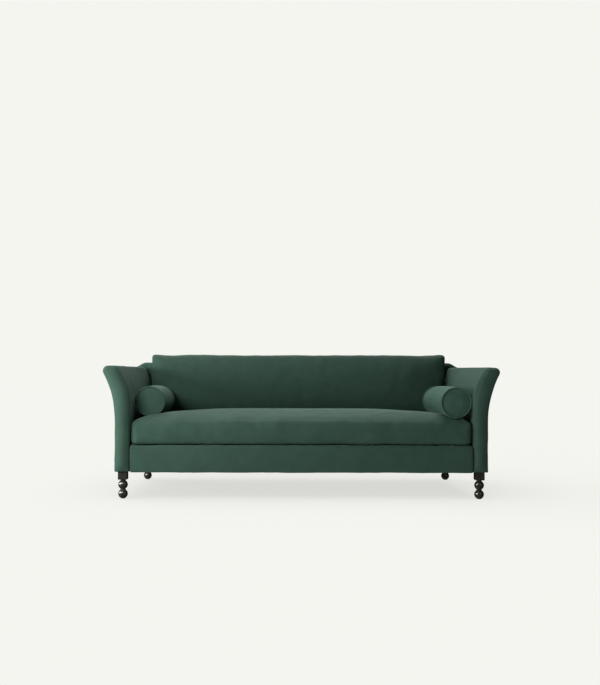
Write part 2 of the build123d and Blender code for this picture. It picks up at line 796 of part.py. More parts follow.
# Seat cushion
seat_sizes = {
    "width": 2 * (inner_base - seat_side_gap),
    "depth": deck_depth - seat_front_setback - seat_back_gap,
    "boxing": seat_boxing,
    "crown": seat_crown,
    "run": min(seat_crown_run, deck_depth * 0.42),
    "run_sideways": min(seat_crown_run_sideways, inner_base * 0.8),
    "corner": seat_corner_radius,
    "draw_in": seat_draw_in,
}
seat_bottom = deck_height + cushion_clearance
seat_rear = front + deck_depth - seat_back_gap
seat_place = Pos(0, seat_rear - seat_sizes["depth"] / 2, seat_bottom)
nodes["seat_cushion_cover"] = seat_place * (cushion_solid(seat_sizes, 0.0) - cushion_solid(seat_sizes, fabric_thickness))
nodes["seat_cushion_core"] = seat_place * cushion_solid(seat_sizes, fabric_thickness + core_clearance)
seat_zip_length = seat_sizes["width"] * zip_share
seat_zip_plane = Plane(origin=(0, seat_rear, seat_bottom + seat_boxing / 2), x_dir=(1, 0, 0), z_dir=(0, 1, 0))
nodes["seat_zipper"] = zip_tape(seat_zip_plane, seat_zip_length)
nodes["seat_zip_slider"] = zip_slider(seat_zip_plane, seat_zip_length)

# Back cushion, leaning on the raked back and standing on the seat's crown
back_sizes = {
    "width": 2 * (inner_base - back_cushion_side_gap),
    "depth": back_cushion_height,
    "boxing": back_cushion_boxing,
    "crown": back_cushion_crown,
    "run": min(back_cushion_crown_run, back_cushion_height * 0.42),
    "run_sideways": min(back_cushion_crown_run_sideways, inner_base * 0.8),
    "corner": back_cushion_corner_radius,
    "draw_in": back_cushion_draw_in,
}
slider_rise = zip_tape_thickness + slide_clearance + slider_height + pull_thickness
back_cushion_gap = slider_rise + rest_clearance


def back_foot_depth(foot):
    return front + deck_depth + (foot - deck_height) * tan(rake) - back_cushion_gap / cos(rake)


# The room left under the back cushion when its lower back edge is at a height
def room_under(foot):
    least = foot
    for z, inset_x, inset_y in cushion_levels(back_sizes):
        if z > back_cushion_boxing:
            continue
        y = back_foot_depth(foot) + inset_y * sin(rake) - z * cos(rake)
        share = min(max((seat_rear - y - cushion_edge_radius) / seat_sizes["run"], 0.0), 1.0)
        edge = seat_sizes["width"] / 2 - cushion_edge_radius - share * seat_sizes["run_sideways"]
        arch = back_cushion_draw_in * (1 - (edge / (back_sizes["width"] / 2)) ** 2)
        seat_level = seat_bottom + seat_boxing + crown_rise(seat_sizes, share)
        level = foot + (inset_y + arch) * cos(rake) + z * sin(rake)
        least = min(least, level - seat_level)
    return least


back_foot = seat_bottom + seat_boxing + seat_crown
for attempt in range(12):
    back_foot = back_foot - (room_under(back_foot) - rest_clearance)
back_foot_y = back_foot_depth(back_foot)
up = Vector(0, sin(rake), cos(rake))
ahead = Vector(0, -cos(rake), sin(rake))
back_origin = Vector(0, back_foot_y, back_foot) + up * (back_cushion_height / 2)
back_plane = Plane(origin=back_origin, x_dir=(1, 0, 0), z_dir=ahead)
back_place = back_plane.location
nodes["back_cushion_cover"] = back_place * (
    cushion_solid(back_sizes, 0.0) - cushion_solid(back_sizes, fabric_thickness)
)
nodes["back_cushion_core"] = back_place * cushion_solid(back_sizes, fabric_thickness + core_clearance)
back_zip_length = back_sizes["width"] * zip_share
back_zip_origin = back_origin - up * (back_cushion_height * 0.3)
back_zip_plane = Plane(origin=back_zip_origin, x_dir=(1, 0, 0), z_dir=ahead * -1)
nodes["back_zipper"] = zip_tape(back_zip_plane, back_zip_length)
nodes["back_zip_slider"] = zip_slider(back_zip_plane, back_zip_length)

# Bolsters, lying on the seat's crown against the arms: the left one pushed back against the back cushion,
# the right one drawn forward and a little turned
bolster_reach = bolster_end_radius + (piping_radius - piping_bite) * cos(radians(45)) + piping_radius
widest = max(bolster_reach, bolster_radius)


# The height at which a ring of the bolster comes to rest on the flats of the seat's crown
def seat_rest(x, y):
    off_middle = abs(y - (front + seat_front_setback + seat_sizes["depth"] / 2))
    straight = seat_sizes["depth"] / 2 - seat_corner_radius
    drawn_in = seat_draw_in / 2 * max(1 - (off_middle / straight) ** 2, 0.0)
    from_side = seat_sizes["width"] / 2 - drawn_in - cushion_edge_radius - x
    from_front = seat_sizes["depth"] / 2 - off_middle - cushion_edge_radius
    rests = [crown_rise(seat_sizes, from_front / seat_sizes["run"]) + widest]
    for low, high in zip(crown_shares, crown_shares[1:]):
        length = (high - low) * seat_sizes["run_sideways"]
        slope = (crown_rise(seat_sizes, high) - crown_rise(seat_sizes, low)) / length
        level = crown_rise(seat_sizes, low) + slope * (from_side - low * seat_sizes["run_sideways"])
        rests.append(level + widest * sqrt(1 + slope**2))
    return seat_bottom + seat_boxing + min(rests)


# How far forward the back cushion comes at a distance from the middle and a height
def back_cushion_front(x, z):
    share = (back_sizes["width"] / 2 - cushion_edge_radius - x) / back_sizes["run_sideways"]
    share = min(max(share, 0.0), 1.0)
    thickness = back_cushion_boxing + back_cushion_crown * (1 - (1 - share) ** 2)
    back_face = front + deck_depth + (z - deck_height) * tan(rake)
    return back_face - (back_cushion_gap + thickness) / cos(rake)


def bolster_place(side, turn, drawn_forward):
    swing = sin(radians(turn)) * bolster_length / 2
    x = inner_base - bolster_clearance - widest - swing
    reach = cos(radians(turn)) * bolster_length / 2 + sin(radians(turn)) * widest
    y = front + seat_front_setback + right_bolster_setback + reach
    if not drawn_forward:
        y = back_cushion_front(x - widest - swing, seat_rest(x, 0.0) - widest) - rest_clearance - reach
    along = bolster_length / 2 - bolster_dome
    pitch = asin((seat_rest(x - swing, y) - seat_rest(x + swing, y)) / bolster_length)
    front_rest = seat_rest(x + swing, y - along) + along * sin(pitch)
    rear_rest = seat_rest(x - swing, y + along) - along * sin(pitch)
    z = max(front_rest, rear_rest) + rest_clearance
    return Pos(side * x, y, z) * Rot(degrees(pitch), 0, side * turn)


bolster_shell = bolster_solid(0.0) - bolster_solid(fabric_thickness)
bolster_filling = bolster_solid(fabric_thickness + core_clearance)
rings = bolster_piping()
bolster_shell = less(bolster_shell, *rings)
bolster_zip_length = (bolster_length - 2 * bolster_dome - 2 * bolster_taper) * zip_share
for name, side, turn, drawn_forward in (("left", -1, 0.0, False), ("right", 1, right_bolster_turn, True)):
    place = bolster_place(side, turn, drawn_forward)
    outward = Vector(side * cos(radians(45)), 0, -sin(radians(45)))
    zip_plane = Plane(origin=outward * bolster_radius, x_dir=(0, 1, 0), z_dir=outward)
    nodes[name + "_bolster_cover"] = place * bolster_shell
    nodes[name + "_bolster_core"] = place * bolster_filling
    nodes[name + "_bolster_piping"] = place * merged(rings)
    nodes[name + "_bolster_zipper"] = place * zip_tape(zip_plane, bolster_zip_length)
    nodes[name + "_bolster_zip_slider"] = place * zip_slider(zip_plane, bolster_zip_length)

os.makedirs("parts", exist_ok=True)
for name, shape in nodes.items():
    solids = shape.solids()
    export_step(solids[0] if len(solids) == 1 else merged([shape]), "parts/" + name + ".step")
    print(name, len(solids))
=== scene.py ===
import json
from math import asin, cos, pi, radians, sin, sqrt

import bmesh
import bpy
import numpy as np
from mathutils import Matrix, Vector


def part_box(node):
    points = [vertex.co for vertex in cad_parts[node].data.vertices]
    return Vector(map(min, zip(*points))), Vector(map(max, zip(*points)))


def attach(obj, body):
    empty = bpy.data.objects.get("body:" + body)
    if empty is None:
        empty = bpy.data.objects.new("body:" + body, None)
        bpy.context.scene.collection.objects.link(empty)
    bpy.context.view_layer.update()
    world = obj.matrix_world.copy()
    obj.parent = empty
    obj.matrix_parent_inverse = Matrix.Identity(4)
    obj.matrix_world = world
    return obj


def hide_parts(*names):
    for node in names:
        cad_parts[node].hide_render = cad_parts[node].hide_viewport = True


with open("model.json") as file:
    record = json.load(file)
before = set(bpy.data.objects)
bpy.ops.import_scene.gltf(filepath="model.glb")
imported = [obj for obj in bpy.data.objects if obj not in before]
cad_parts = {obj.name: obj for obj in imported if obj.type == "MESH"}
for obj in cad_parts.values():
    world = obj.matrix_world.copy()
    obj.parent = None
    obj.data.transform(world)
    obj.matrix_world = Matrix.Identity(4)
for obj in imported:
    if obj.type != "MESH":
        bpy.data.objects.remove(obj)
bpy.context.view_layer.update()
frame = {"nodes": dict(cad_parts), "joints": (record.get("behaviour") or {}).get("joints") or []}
nodes = frame["nodes"]
scene = bpy.context.scene
jointAxis = {joint["name"]: Vector(joint["axis"]).normalized() for joint in frame["joints"]}
print("frame loaded:", len(nodes), "nodes")

# levels of the sofa that several pieces share, read from the frame
armLow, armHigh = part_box("right_arm_cover")
insideLow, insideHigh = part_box("inside_back_cover")
innerBase = armLow.x
outerTip = armHigh.x
front = armLow.y
legTop = armLow.z
armRear = armHigh.z  # the arms rise a little towards the back
backProud = 0.004
backTop = insideHigh.z + backProud  # the padding stands a little proud
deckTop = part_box("deck_cover")[1].z
eastward = np.array((1.0, 0.0, 0.0))
upward = np.array(jointAxis["back_cushion_lift"])  # along the raked back
ahead = np.array((0.0, -upward[2], upward[1]))  # out of the raked back, towards the front
rakeSlope = upward[1] / upward[2]


# Shader tools

class Reading:
    def __init__(self, tree, socket):
        self.tree = tree
        self.socket = socket

    def maths(self, operation, first, second):
        node = self.tree.nodes.new("ShaderNodeMath")
        node.operation = operation
        for place, part in enumerate((first, second)):
            if isinstance(part, Reading):
                self.tree.links.new(part.socket, node.inputs[place])
            else:
                node.inputs[place].default_value = part
        return Reading(self.tree, node.outputs[0])

    def __add__(self, other):
        return self.maths("ADD", self, other)

    def __radd__(self, other):
        return self.maths("ADD", other, self)

    def __sub__(self, other):
        return self.maths("SUBTRACT", self, other)

    def __mul__(self, other):
        return self.maths("MULTIPLY", self, other)


class Finish:
    def __init__(self, owner):
        owner.use_nodes = True
        self.material = owner
        self.tree = owner.node_tree
        self.tree.nodes.clear()

    def node(self, kind, settings=None, sockets=None, output=0):
        made = self.tree.nodes.new(kind)
        for key, value in (settings or {}).items():
            setattr(made, key, value)
        for key, value in (sockets or {}).items():
            if isinstance(value, Reading):
                self.tree.links.new(value.socket, made.inputs[key])
            else:
                made.inputs[key].default_value = value
        return Reading(self.tree, made.outputs[output]) if made.outputs else None

    def axes(self, vector):
        first = self.node("ShaderNodeSeparateXYZ", None, {0: vector})
        return [Reading(self.tree, socket) for socket in first.socket.node.outputs]

    def stretched(self, place, scale):
        return self.node("ShaderNodeVectorMath", {"operation": "MULTIPLY"}, {0: place, 1: scale})

    def noise(self, place, scale, detail=3.0, roughness=0.55):
        values = {"Vector": place, "Scale": scale, "Detail": detail, "Roughness": roughness}
        return self.node("ShaderNodeTexNoise", None, values)

    def sine(self, value):
        return self.node("ShaderNodeMath", {"operation": "SINE"}, {0: value})

    # tone, roughness and height vary, and what the look calls fixed is the same all over
    def surface(self, look, tone, roughness, height):
        share = self.node("ShaderNodeClamp", None, {0: tone})
        colours = {0: share, 6: (*look["dark"], 1.0), 7: (*look["light"], 1.0)}
        relief = {"Height": height, "Distance": look["relief"], "Strength": look["reliefStrength"]}
        shader = self.node("ShaderNodeBsdfPrincipled", None, {
            **look["fixed"],
            "Base Color": self.node("ShaderNodeMix", {"data_type": "RGBA"}, colours, output=2),
            "Roughness": roughness,
            "Normal": self.node("ShaderNodeBump", None, relief),
        })
        self.node("ShaderNodeOutputMaterial", None, {"Surface": shader})
        return self.material


def makeFinish(name, recipe, look):
    finish = Finish(bpy.data.materials.new(name))
    place = finish.node("ShaderNodeTexCoord", output="Object")
    return finish.surface(look, *recipe(finish, place, look))


# Cloths: a plain weave on whichever plane the surface faces, with fibres and patches of tone

def woven(finish, place, look):
    turn = pi / look["yarn"]
    wander = finish.noise(place, look["wander"], detail=1.0) * look["yarnDrift"]
    along = [finish.sine(axis * turn + wander) for axis in finish.axes(place)]
    facing = [axis * axis for axis in finish.axes(finish.node("ShaderNodeNewGeometry", output="Normal"))]
    weave = (
        along[0] * along[1] * facing[2]
        + along[0] * along[2] * facing[1]
        + along[1] * along[2] * facing[0]
    )
    fibre = finish.noise(place, look["fibre"], detail=2.0, roughness=0.7)
    patch = finish.noise(place, look["patch"], detail=4.0, roughness=0.6)
    tone = 0.5 + weave * look["weaveTone"] + (fibre - 0.5) * look["fibreTone"]
    tone = tone + (patch - 0.5) * look["patchTone"]
    roughness = look["roughness"] + (fibre - 0.5) * look["roughnessSpread"]
    return tone, roughness, weave * look["weaveRise"] + fibre * look["fibreRise"]


greenShine = {
    "Sheen Weight": 0.10, "Sheen Roughness": 0.42, "Sheen Tint": (0.40, 0.66, 0.55, 1.0),
    "Specular IOR Level": 0.14,
}
paleShine = {**greenShine, "Sheen Tint": (1.0, 1.0, 1.0, 1.0)}
greenLook = {
    "dark": (0.0130, 0.0322, 0.0230), "light": (0.0264, 0.0562, 0.0415),
    "yarn": 0.0021, "yarnDrift": 0.9, "wander": 60.0, "fibre": 900.0, "patch": 13.0,
    "weaveTone": 0.16, "fibreTone": 0.5, "patchTone": 0.75, "roughness": 0.84, "roughnessSpread": 0.12,
    "weaveRise": 0.5, "fibreRise": 0.7, "relief": 0.0007, "reliefStrength": 0.45, "fixed": greenShine,
}
# a paler copy of the same green cloth for the bolsters: painted light and sheen, not a different dye
paintedSheenBolsterLook = {**greenLook, "dark": (0.0162, 0.0400, 0.0288), "light": (0.0328, 0.0698, 0.0518)}
deckLook = {
    **greenLook, "dark": (0.020, 0.036, 0.030), "light": (0.034, 0.056, 0.047), "yarn": 0.0012,
    "patchTone": 0.35, "fixed": {**greenShine, "Sheen Weight": 0.05},
}
zipTapeLook = {**greenLook, "dark": (0.010, 0.024, 0.018), "light": (0.020, 0.041, 0.032), "yarn": 0.0009}
burlapLook = {
    **greenLook, "dark": (0.20, 0.13, 0.065), "light": (0.45, 0.33, 0.19), "yarn": 0.0034, "yarnDrift": 2.2,
    "weaveTone": 0.4, "relief": 0.0016, "fixed": {**paleShine, "Sheen Weight": 0.0},
}
webbingLook = {
    **burlapLook, "dark": (0.33, 0.26, 0.17), "light": (0.58, 0.49, 0.35), "yarn": 0.0018, "yarnDrift": 0.6,
}
dustLook = {
    **greenLook, "dark": (0.008, 0.008, 0.009), "light": (0.022, 0.022, 0.024), "yarn": 0.0030,
    "weaveTone": 0.1, "fibre": 500.0, "patch": 5.0, "fixed": {**paleShine, "Sheen Weight": 0.05},
}
waddingLook = {
    **greenLook, "dark": (0.62, 0.60, 0.55), "light": (0.86, 0.85, 0.81), "yarn": 0.012, "weaveTone": 0.05,
    "fibre": 260.0, "fibreTone": 1.2, "relief": 0.003, "fixed": paleShine,
}


# Turned dark lacquer of the legs, with a faint grain under the gloss

lacquerLook = {
    "dark": (0.011, 0.011, 0.0095), "light": (0.028, 0.026, 0.022), "relief": 0.0005, "reliefStrength": 0.12,
    "grain": (95.0, 95.0, 9.0), "grainStart": 0.3, "grainContrast": 2.0, "grainRise": 0.6,
    "dust": 900.0, "dustRise": 0.15, "roughness": 0.20,
    "smear": 45.0, "smearMiddle": 0.4, "smearSpread": 0.16,
    "fixed": {"Coat Weight": 0.35, "Coat Roughness": 0.09, "Specular IOR Level": 0.4},
}


def lacquered(finish, place, look):
    grain = finish.noise(finish.stretched(place, look["grain"]), 1.0, detail=4.0, roughness=0.6)
    smear = finish.noise(place, look["smear"])
    dust = finish.noise(place, look["dust"], detail=2.0)
    tone = (grain - look["grainStart"]) * look["grainContrast"]
    roughness = look["roughness"] + (smear - look["smearMiddle"]) * look["smearSpread"]
    return tone, roughness, grain * look["grainRise"] + dust * look["dustRise"]


# Sawn wood of the frame

woodLook = {
    "dark": (0.34, 0.20, 0.095), "light": (0.62, 0.44, 0.26), "relief": 0.0006, "reliefStrength": 0.3,
    "rings": (7.0, 55.0, 55.0), "ringStart": 0.32, "ringContrast": 2.4, "ringRise": 0.5,
    "pores": (40.0, 500.0, 500.0), "poreTone": 0.5, "poreSpread": 0.2, "poreRise": 0.6, "roughness": 0.62,
    "fixed": {"Specular IOR Level": 0.3},
}


def sawn(finish, place, look):
    rings = finish.noise(finish.stretched(place, look["rings"]), 1.0, detail=5.0, roughness=0.65)
    pores = finish.noise(finish.stretched(place, look["pores"]), 1.0, detail=2.0)
    tone = (rings - look["ringStart"]) * look["ringContrast"] + (pores - 0.5) * look["poreTone"]
    roughness = look["roughness"] + (pores - 0.5) * look["poreSpread"]
    return tone, roughness, rings * look["ringRise"] + pores * look["poreRise"]


# Metals: stained and finely scratched

zincLook = {
    "dark": (0.50, 0.51, 0.52), "light": (0.70, 0.70, 0.69), "relief": 0.0002, "reliefStrength": 0.2,
    "stain": 70.0, "stainSpread": 0.25, "scratch": (300.0, 1500.0, 300.0), "scratchSpread": 0.12,
    "roughness": 0.34, "fixed": {"Metallic": 1.0},
}
springLook = {**zincLook, "dark": (0.22, 0.21, 0.2), "light": (0.42, 0.4, 0.38), "roughness": 0.4}
sliderLook = {**zincLook, "dark": (0.30, 0.29, 0.26), "light": (0.5, 0.48, 0.43), "roughness": 0.3}


def bareMetal(finish, place, look):
    stain = finish.noise(place, look["stain"], detail=4.0)
    scratch = finish.noise(finish.stretched(place, look["scratch"]), 1.0, detail=2.0)
    roughness = look["roughness"] + (stain - 0.5) * look["stainSpread"]
    return stain, roughness + (scratch - 0.5) * look["scratchSpread"], scratch


# Moulded plastic of the glides

glideLook = {
    "dark": (0.02, 0.02, 0.021), "light": (0.05, 0.05, 0.052), "relief": 0.0003, "reliefStrength": 0.3,
    "grain": 600.0, "roughness": 0.42, "roughnessSpread": 0.2, "fixed": {},
}


def moulded(finish, place, look):
    grain = finish.noise(place, look["grain"])
    return grain, look["roughness"] + grain * look["roughnessSpread"], grain


# Foam of the cushions

foamLook = {
    "dark": (0.70, 0.60, 0.38), "light": (0.84, 0.76, 0.55), "relief": 0.0015, "reliefStrength": 0.5,
    "cells": 420.0, "tint": 9.0, "roughness": 0.85, "roughnessSpread": 0.1, "fixed": {},
}


def foamed(finish, place, look):
    cells = finish.node("ShaderNodeTexVoronoi", None, {"Vector": place, "Scale": look["cells"]})
    return finish.noise(place, look["tint"]), look["roughness"] + cells * look["roughnessSpread"], cells


slotFinish = {
    "green_fabric": makeFinish("greenFabric", woven, greenLook),
    "deck_cloth": makeFinish("deckCloth", woven, deckLook),
    "zip_tape": makeFinish("zipTape", woven, zipTapeLook),
    "burlap": makeFinish("springBurlap", woven, burlapLook),
    "webbing": makeFinish("backWebbing", woven, webbingLook),
    "dust_cloth": makeFinish("dustCloth", woven, dustLook),
    "wadding": makeFinish("polyWadding", woven, waddingLook),
    "foam": makeFinish("cushionFoam", foamed, foamLook),
    "leg_wood": makeFinish("legLacquer", lacquered, lacquerLook),
    "frame_wood": makeFinish("frameWood", sawn, woodLook),
    "zinc_steel": makeFinish("zincSteel", bareMetal, zincLook),
    "spring_steel": makeFinish("springSteel", bareMetal, springLook),
    "slider_metal": makeFinish("sliderMetal", bareMetal, sliderLook),
    "glide_plastic": makeFinish("glidePlastic", moulded, glideLook),
}
paintedSheenBolsterCloth = makeFinish("bolsterFabric", woven, paintedSheenBolsterLook)  # a paler copy of the green cloth: painted light and sheen, for the bolsters looking brighter than the rest under the lamps
for node in nodes.values():
    slotName = node.material_slots[0].material.name.split(".")[0]
    node.material_slots[0].material = slotFinish[slotName]
print("finishes made:", len(slotFinish))


# Mesh tools

def linkPiece(name, points, faces):
    mesh = bpy.data.meshes.new(name)
    mesh.from_pydata([tuple(float(part) for part in point) for point in points], [], faces)
    work = bmesh.new()
    work.from_mesh(mesh)
    bmesh.ops.recalc_face_normals(work, faces=work.faces)
    work.to_mesh(mesh)
    work.free()
    mesh.shade_smooth()
    piece = bpy.data.objects.new(name, mesh)
    scene.collection.objects.link(piece)
    return piece


# quads between two loops that have the same number of points
def bandFaces(lower, upper):
    quads = zip(lower, np.roll(lower, -1), np.roll(upper, -1), upper)
    return [tuple(int(index) for index in quad) for quad in quads]


# a skin over rings of points, whose ends are capped, open or joined to each other
def ringFaces(ringCount, count, ends="capped", start=0):
    rings = [range(first, first + count) for first in range(start, start + ringCount * count, count)]
    joined = rings[:1] if ends == "joined" else []
    faces = []
    for lower, upper in zip(rings, rings[1:] + joined):
        faces += bandFaces(lower, upper)
    if ends == "capped":
        faces += [tuple(rings[0]), tuple(rings[-1])]
    return faces


def gridFaces(rows, columns, start=0):
    faces = []
    for row in range(rows - 1):
        for column in range(columns - 1):
            here = start + row * columns + column
            faces.append((here, here + 1, here + columns + 1, here + columns))
    return faces


# the edge of a grid, once round
def rimOrder(rows, columns):
    order = list(range(columns))
    order += [row * columns + columns - 1 for row in range(1, rows)]
    order += [(rows - 1) * columns + column for column in range(columns - 2, -1, -1)]
    order += [row * columns for row in range(rows - 2, 0, -1)]
    return np.array(order)


def straight(start, end, count):
    return [tuple(point) for point in np.linspace(start, end, count)]


def arc(center, radius, begin, finish, count):
    angles = np.linspace(begin, finish, count)
    return [(center[0] + radius * cos(angle), center[1] + radius * sin(angle)) for angle in angles]


def smoothStep(value):
    share = np.clip(value, 0.0, 1.0)
    return share * share * (3 - 2 * share)


def readVectors(items, key):
    flat = np.empty(len(items) * 3, np.float32)
    items.foreach_get(key, flat)
    return flat.reshape(-1, 3).astype(float)


def readPoints(piece):
    return readVectors(piece.data.vertices, "co")


def readNormals(piece):
    return readVectors(piece.data.vertex_normals, "vector")


def writePoints(piece, points):
    piece.data.vertices.foreach_set("co", points.astype(np.float32).ravel())
    piece.data.update()


def bakeModifiers(piece):
    graph = bpy.context.evaluated_depsgraph_get()
    mesh = bpy.data.meshes.new_from_object(piece.evaluated_get(graph))
    piece.modifiers.clear()
    piece.data = mesh
    mesh.shade_smooth()


def subdivide(piece, levels):
    modifier = piece.modifiers.new("rounding", "SUBSURF")
    modifier.levels = levels
    bakeModifiers(piece)


rippleRange = (0.7, 1.5)


# a smooth uneven field about one unit high, the same on every run
def ripples(points, wavelength, seed, waves=20):
    random = np.random.default_rng(seed)
    ways = random.normal(size=(waves, 3))
    ways /= np.linalg.norm(ways, axis=1)[:, None]
    lengths = wavelength * random.uniform(*rippleRange, waves)
    phases = random.uniform(0, 2 * pi, waves)
    total = np.zeros(len(points))
    for way, length, phase in zip(ways, lengths, phases):
        total += np.sin(points @ way * (2 * pi / length) + phase)
    return total / sqrt(waves / 2)


# amounts are pairs of a wavelength and a height
def roughen(piece, amounts, seed):
    points = readPoints(piece)
    normals = readNormals(piece)
    for step, (wavelength, amount) in enumerate(amounts):
        points = points + normals * (amount * ripples(points, wavelength, seed + step))[:, None]
    writePoints(piece, points)


def dress(piece, slotName, body, replaced, material=None):
    piece.data.materials.clear()
    piece.data.materials.append(material or slotFinish[slotName])
    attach(piece, body)
    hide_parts(*replaced)


clothSwell = {
    "cloth": {
        "quality": 6, "mass": 0.25, "tension_stiffness": 12.0, "compression_stiffness": 12.0,
        "shear_stiffness": 6.0, "bending_stiffness": 0.6, "pin_stiffness": 1.0, "use_pressure": True,
    },
    "pressure": 4.0, "frames": 20, "cap": 0.024,
}


# lets pressure swell a closed piece like a filled cover, with its sewn points held
def swell(piece, sewn, settings):
    start = readPoints(piece)
    group = piece.vertex_groups.new(name="sewn")
    group.add([int(index) for index in sewn], 1.0, "REPLACE")
    modifier = piece.modifiers.new("swell", "CLOTH")
    for key, value in settings["cloth"].items():
        setattr(modifier.settings, key, value)
    modifier.settings.uniform_pressure_force = settings["pressure"]
    modifier.settings.effector_weights.gravity = 0.0
    modifier.settings.vertex_group_mass = group.name
    modifier.collision_settings.use_collision = False
    modifier.point_cache.frame_start = 1
    modifier.point_cache.frame_end = settings["frames"]
    for step in range(1, settings["frames"] + 1):
        scene.frame_set(step)
    bakeModifiers(piece)
    piece.vertex_groups.clear()
    scene.frame_set(1)
    move = readPoints(piece) - start
    length = np.linalg.norm(move, axis=1)
    share = settings["cap"] * np.tanh(length / settings["cap"]) / np.maximum(length, 1e-9)
    print("  swelled", piece.name, "by up to", round(float(length.max()) * 1000, 1), "mm")
    return start + move * share[:, None]


# Arms: a flared outline carried from a softly domed facing to the back

arm = {
    "flare": 0.069, "proud": 0.004, "outerStart": 0.455, "innerFlare": 0.066, "innerStart": 0.545,
    "rearFill": 0.42, "nose": 0.029, "innerRound": 0.024, "leastRound": 0.0015, "top": 0.762,
    "footRound": 0.003, "footSoft": 0.3, "footDrop": 0.002, "footInset": 0.5,
    "wallPoints": 12, "curvePoints": 12, "roundPoints": 7, "topPoints": 5, "facingRings": 6, "seamRoom": 3,
    "frontRound": 0.019, "facingDome": 0.014, "facingSet": 0.003, "facingAngle": 38, "topFade": 0.045,
    "footFade": 0.030, "puff": {-1: 0.007, 1: 0.0}, "ringStep": 0.034, "rearRound": 0.004,
    "seam": ((-1, 0.0), (-0.4, 0.6), (0, 1.0), (0.4, 0.6), (1, 0.0)), "seamDepth": 0.0009, "seamHalf": 0.0026,
    "unevenness": ((0.16, 0.0006), (0.055, 0.00025)), "seeds": {-1: 11, 1: 17},
}
outerBase = outerTip + arm["proud"] - arm["flare"]


def flareRadius(rise, flare):
    return (rise * rise + flare * flare) / (2 * flare)


# fill is the share of the inner flare that is stuffed out
def armCurves(top, inset, fill):
    nose = max(arm["nose"] - inset, arm["leastRound"])
    inner = max(arm["innerRound"] - inset, arm["leastRound"])
    outerRise = top - arm["nose"] - arm["outerStart"]
    outerRadius = flareRadius(outerRise, arm["flare"]) - arm["nose"] + inset
    innerRise = top - arm["innerRound"] - arm["innerStart"]
    innerRadius = flareRadius(innerRise, arm["innerFlare"] * (1 - fill)) + arm["innerRound"] - inset
    lean = asin((top - inset - nose - arm["outerStart"]) / (outerRadius + nose))
    tilt = asin((top - inset - inner - arm["innerStart"]) / (innerRadius - inner))
    innerCenter = (innerBase + innerRadius + inset, arm["innerStart"])
    outerCenter = (outerBase + outerRadius - inset, arm["outerStart"])
    inside = arc(innerCenter, innerRadius, pi, pi - tilt, arm["curvePoints"])
    outside = arc(outerCenter, outerRadius, pi - lean, pi, arm["curvePoints"])
    crest = inside[-1]
    tip = outside[0]
    hill = (crest[0] + inner * cos(tilt), crest[1] - inner * sin(tilt))
    cheek = (tip[0] - nose * cos(lean), tip[1] + nose * sin(lean))
    overInner = arc(hill, inner, pi - tilt, pi / 2, arm["roundPoints"])
    overNose = arc(cheek, nose, pi / 2, -lean, arm["roundPoints"])
    return inside, overInner, overNose, outside


# the outline as four runs: up the inside, over the top, down the outside and back below
def armOutline(top, inset, fill):
    inside, overInner, overNose, outside = armCurves(top, inset, fill)
    foot = arm["footRound"]
    soft = foot * arm["footSoft"]
    bottom = legTop - arm["footDrop"] + inset * arm["footInset"]
    left = innerBase + inset
    right = outerBase - inset
    half = len(overInner) // 2
    wall = arm["wallPoints"]
    up = [(left + foot, bottom), (left + soft, bottom + soft)]
    up += straight((left, bottom + foot), inside[0], wall)[:-1] + inside[:-1] + overInner[:half + 1]
    flat = straight(overInner[-1], overNose[0], arm["topPoints"])
    over = overInner[half:] + flat[1:-1] + overNose[:half + 1]
    down = overNose[half:-1] + outside + straight(outside[-1], (right, bottom + foot), wall)[1:]
    down += [(right - soft, bottom + soft), (right - foot, bottom)]
    under = straight(down[-1], up[0], len(over))
    return up, over, down, under


# the top rises to the back, and the left arm is stuffed a little fuller in front
def armTop(y, side):
    low = arm["top"] + arm["puff"][side]
    return low + (armRear - low) * min((y - front) / (insideLow.y - front), 1.0)


def armRings():
    rounding = arm["frontRound"]
    rings = []
    for angle in np.radians(np.linspace(arm["facingAngle"], 90, arm["facingRings"])):
        rings.append((front + arm["facingSet"] + rounding * (1 - cos(angle)), rounding * (1 - sin(angle))))
    room = arm["seamRoom"] * arm["seamHalf"]
    seam = front + arm["facingSet"] + rounding + room
    for offset, depth in arm["seam"]:
        rings.append((seam + offset * arm["seamHalf"], depth * arm["seamDepth"]))
    begin = seam + room
    end = armHigh.y - arm["rearRound"]
    rings += [(y, 0.0) for y in np.linspace(begin, end, round((end - begin) / arm["ringStep"]))]
    rings.append((armHigh.y, arm["rearRound"]))
    return rings


# closes a ring made of four runs with a grid of quads, lifted by a bulge in its middle
def fillRing(points, faces, first, rows, columns, bulge):
    count = 2 * (rows + columns) - 4
    index = {}
    for row in range(rows):
        index[row, 0] = first + row
        index[row, columns - 1] = first + (2 * rows + columns - 3 - row)
    for column in range(columns):
        index[rows - 1, column] = first + rows - 1 + column
        index[0, column] = first + (count - column) % count
    edge = {place: np.array(points[index[place]]) for place in index}
    for row in range(1, rows - 1):
        up = row / (rows - 1)
        for column in range(1, columns - 1):
            over = column / (columns - 1)
            spot = (1 - over) * edge[row, 0] + over * edge[row, columns - 1]
            spot = spot + (1 - up) * edge[0, column] + up * edge[rows - 1, column]
            low = (1 - over) * edge[0, 0] + over * edge[0, columns - 1]
            high = (1 - over) * edge[rows - 1, 0] + over * edge[rows - 1, columns - 1]
            spot = spot - (1 - up) * low - up * high
            spot[1] += bulge(over, spot[2])
            index[row, column] = len(points)
            points.append(tuple(spot))
    table = [index[row, column] for row in range(rows) for column in range(columns)]
    faces += [tuple(table[place] for place in quad) for quad in gridFaces(rows, columns)]


def facingBulge(over, z):
    nearTop = min(max((arm["top"] - z) / arm["topFade"], 0.0), 1.0)
    nearFoot = min(max((z - legTop) / arm["footFade"], 0.0), 1.0)
    across = 1 - (2 * over - 1) ** 2
    return -arm["facingDome"] * across * (1 - (1 - nearTop) ** 2) * (1 - (1 - nearFoot) ** 2)


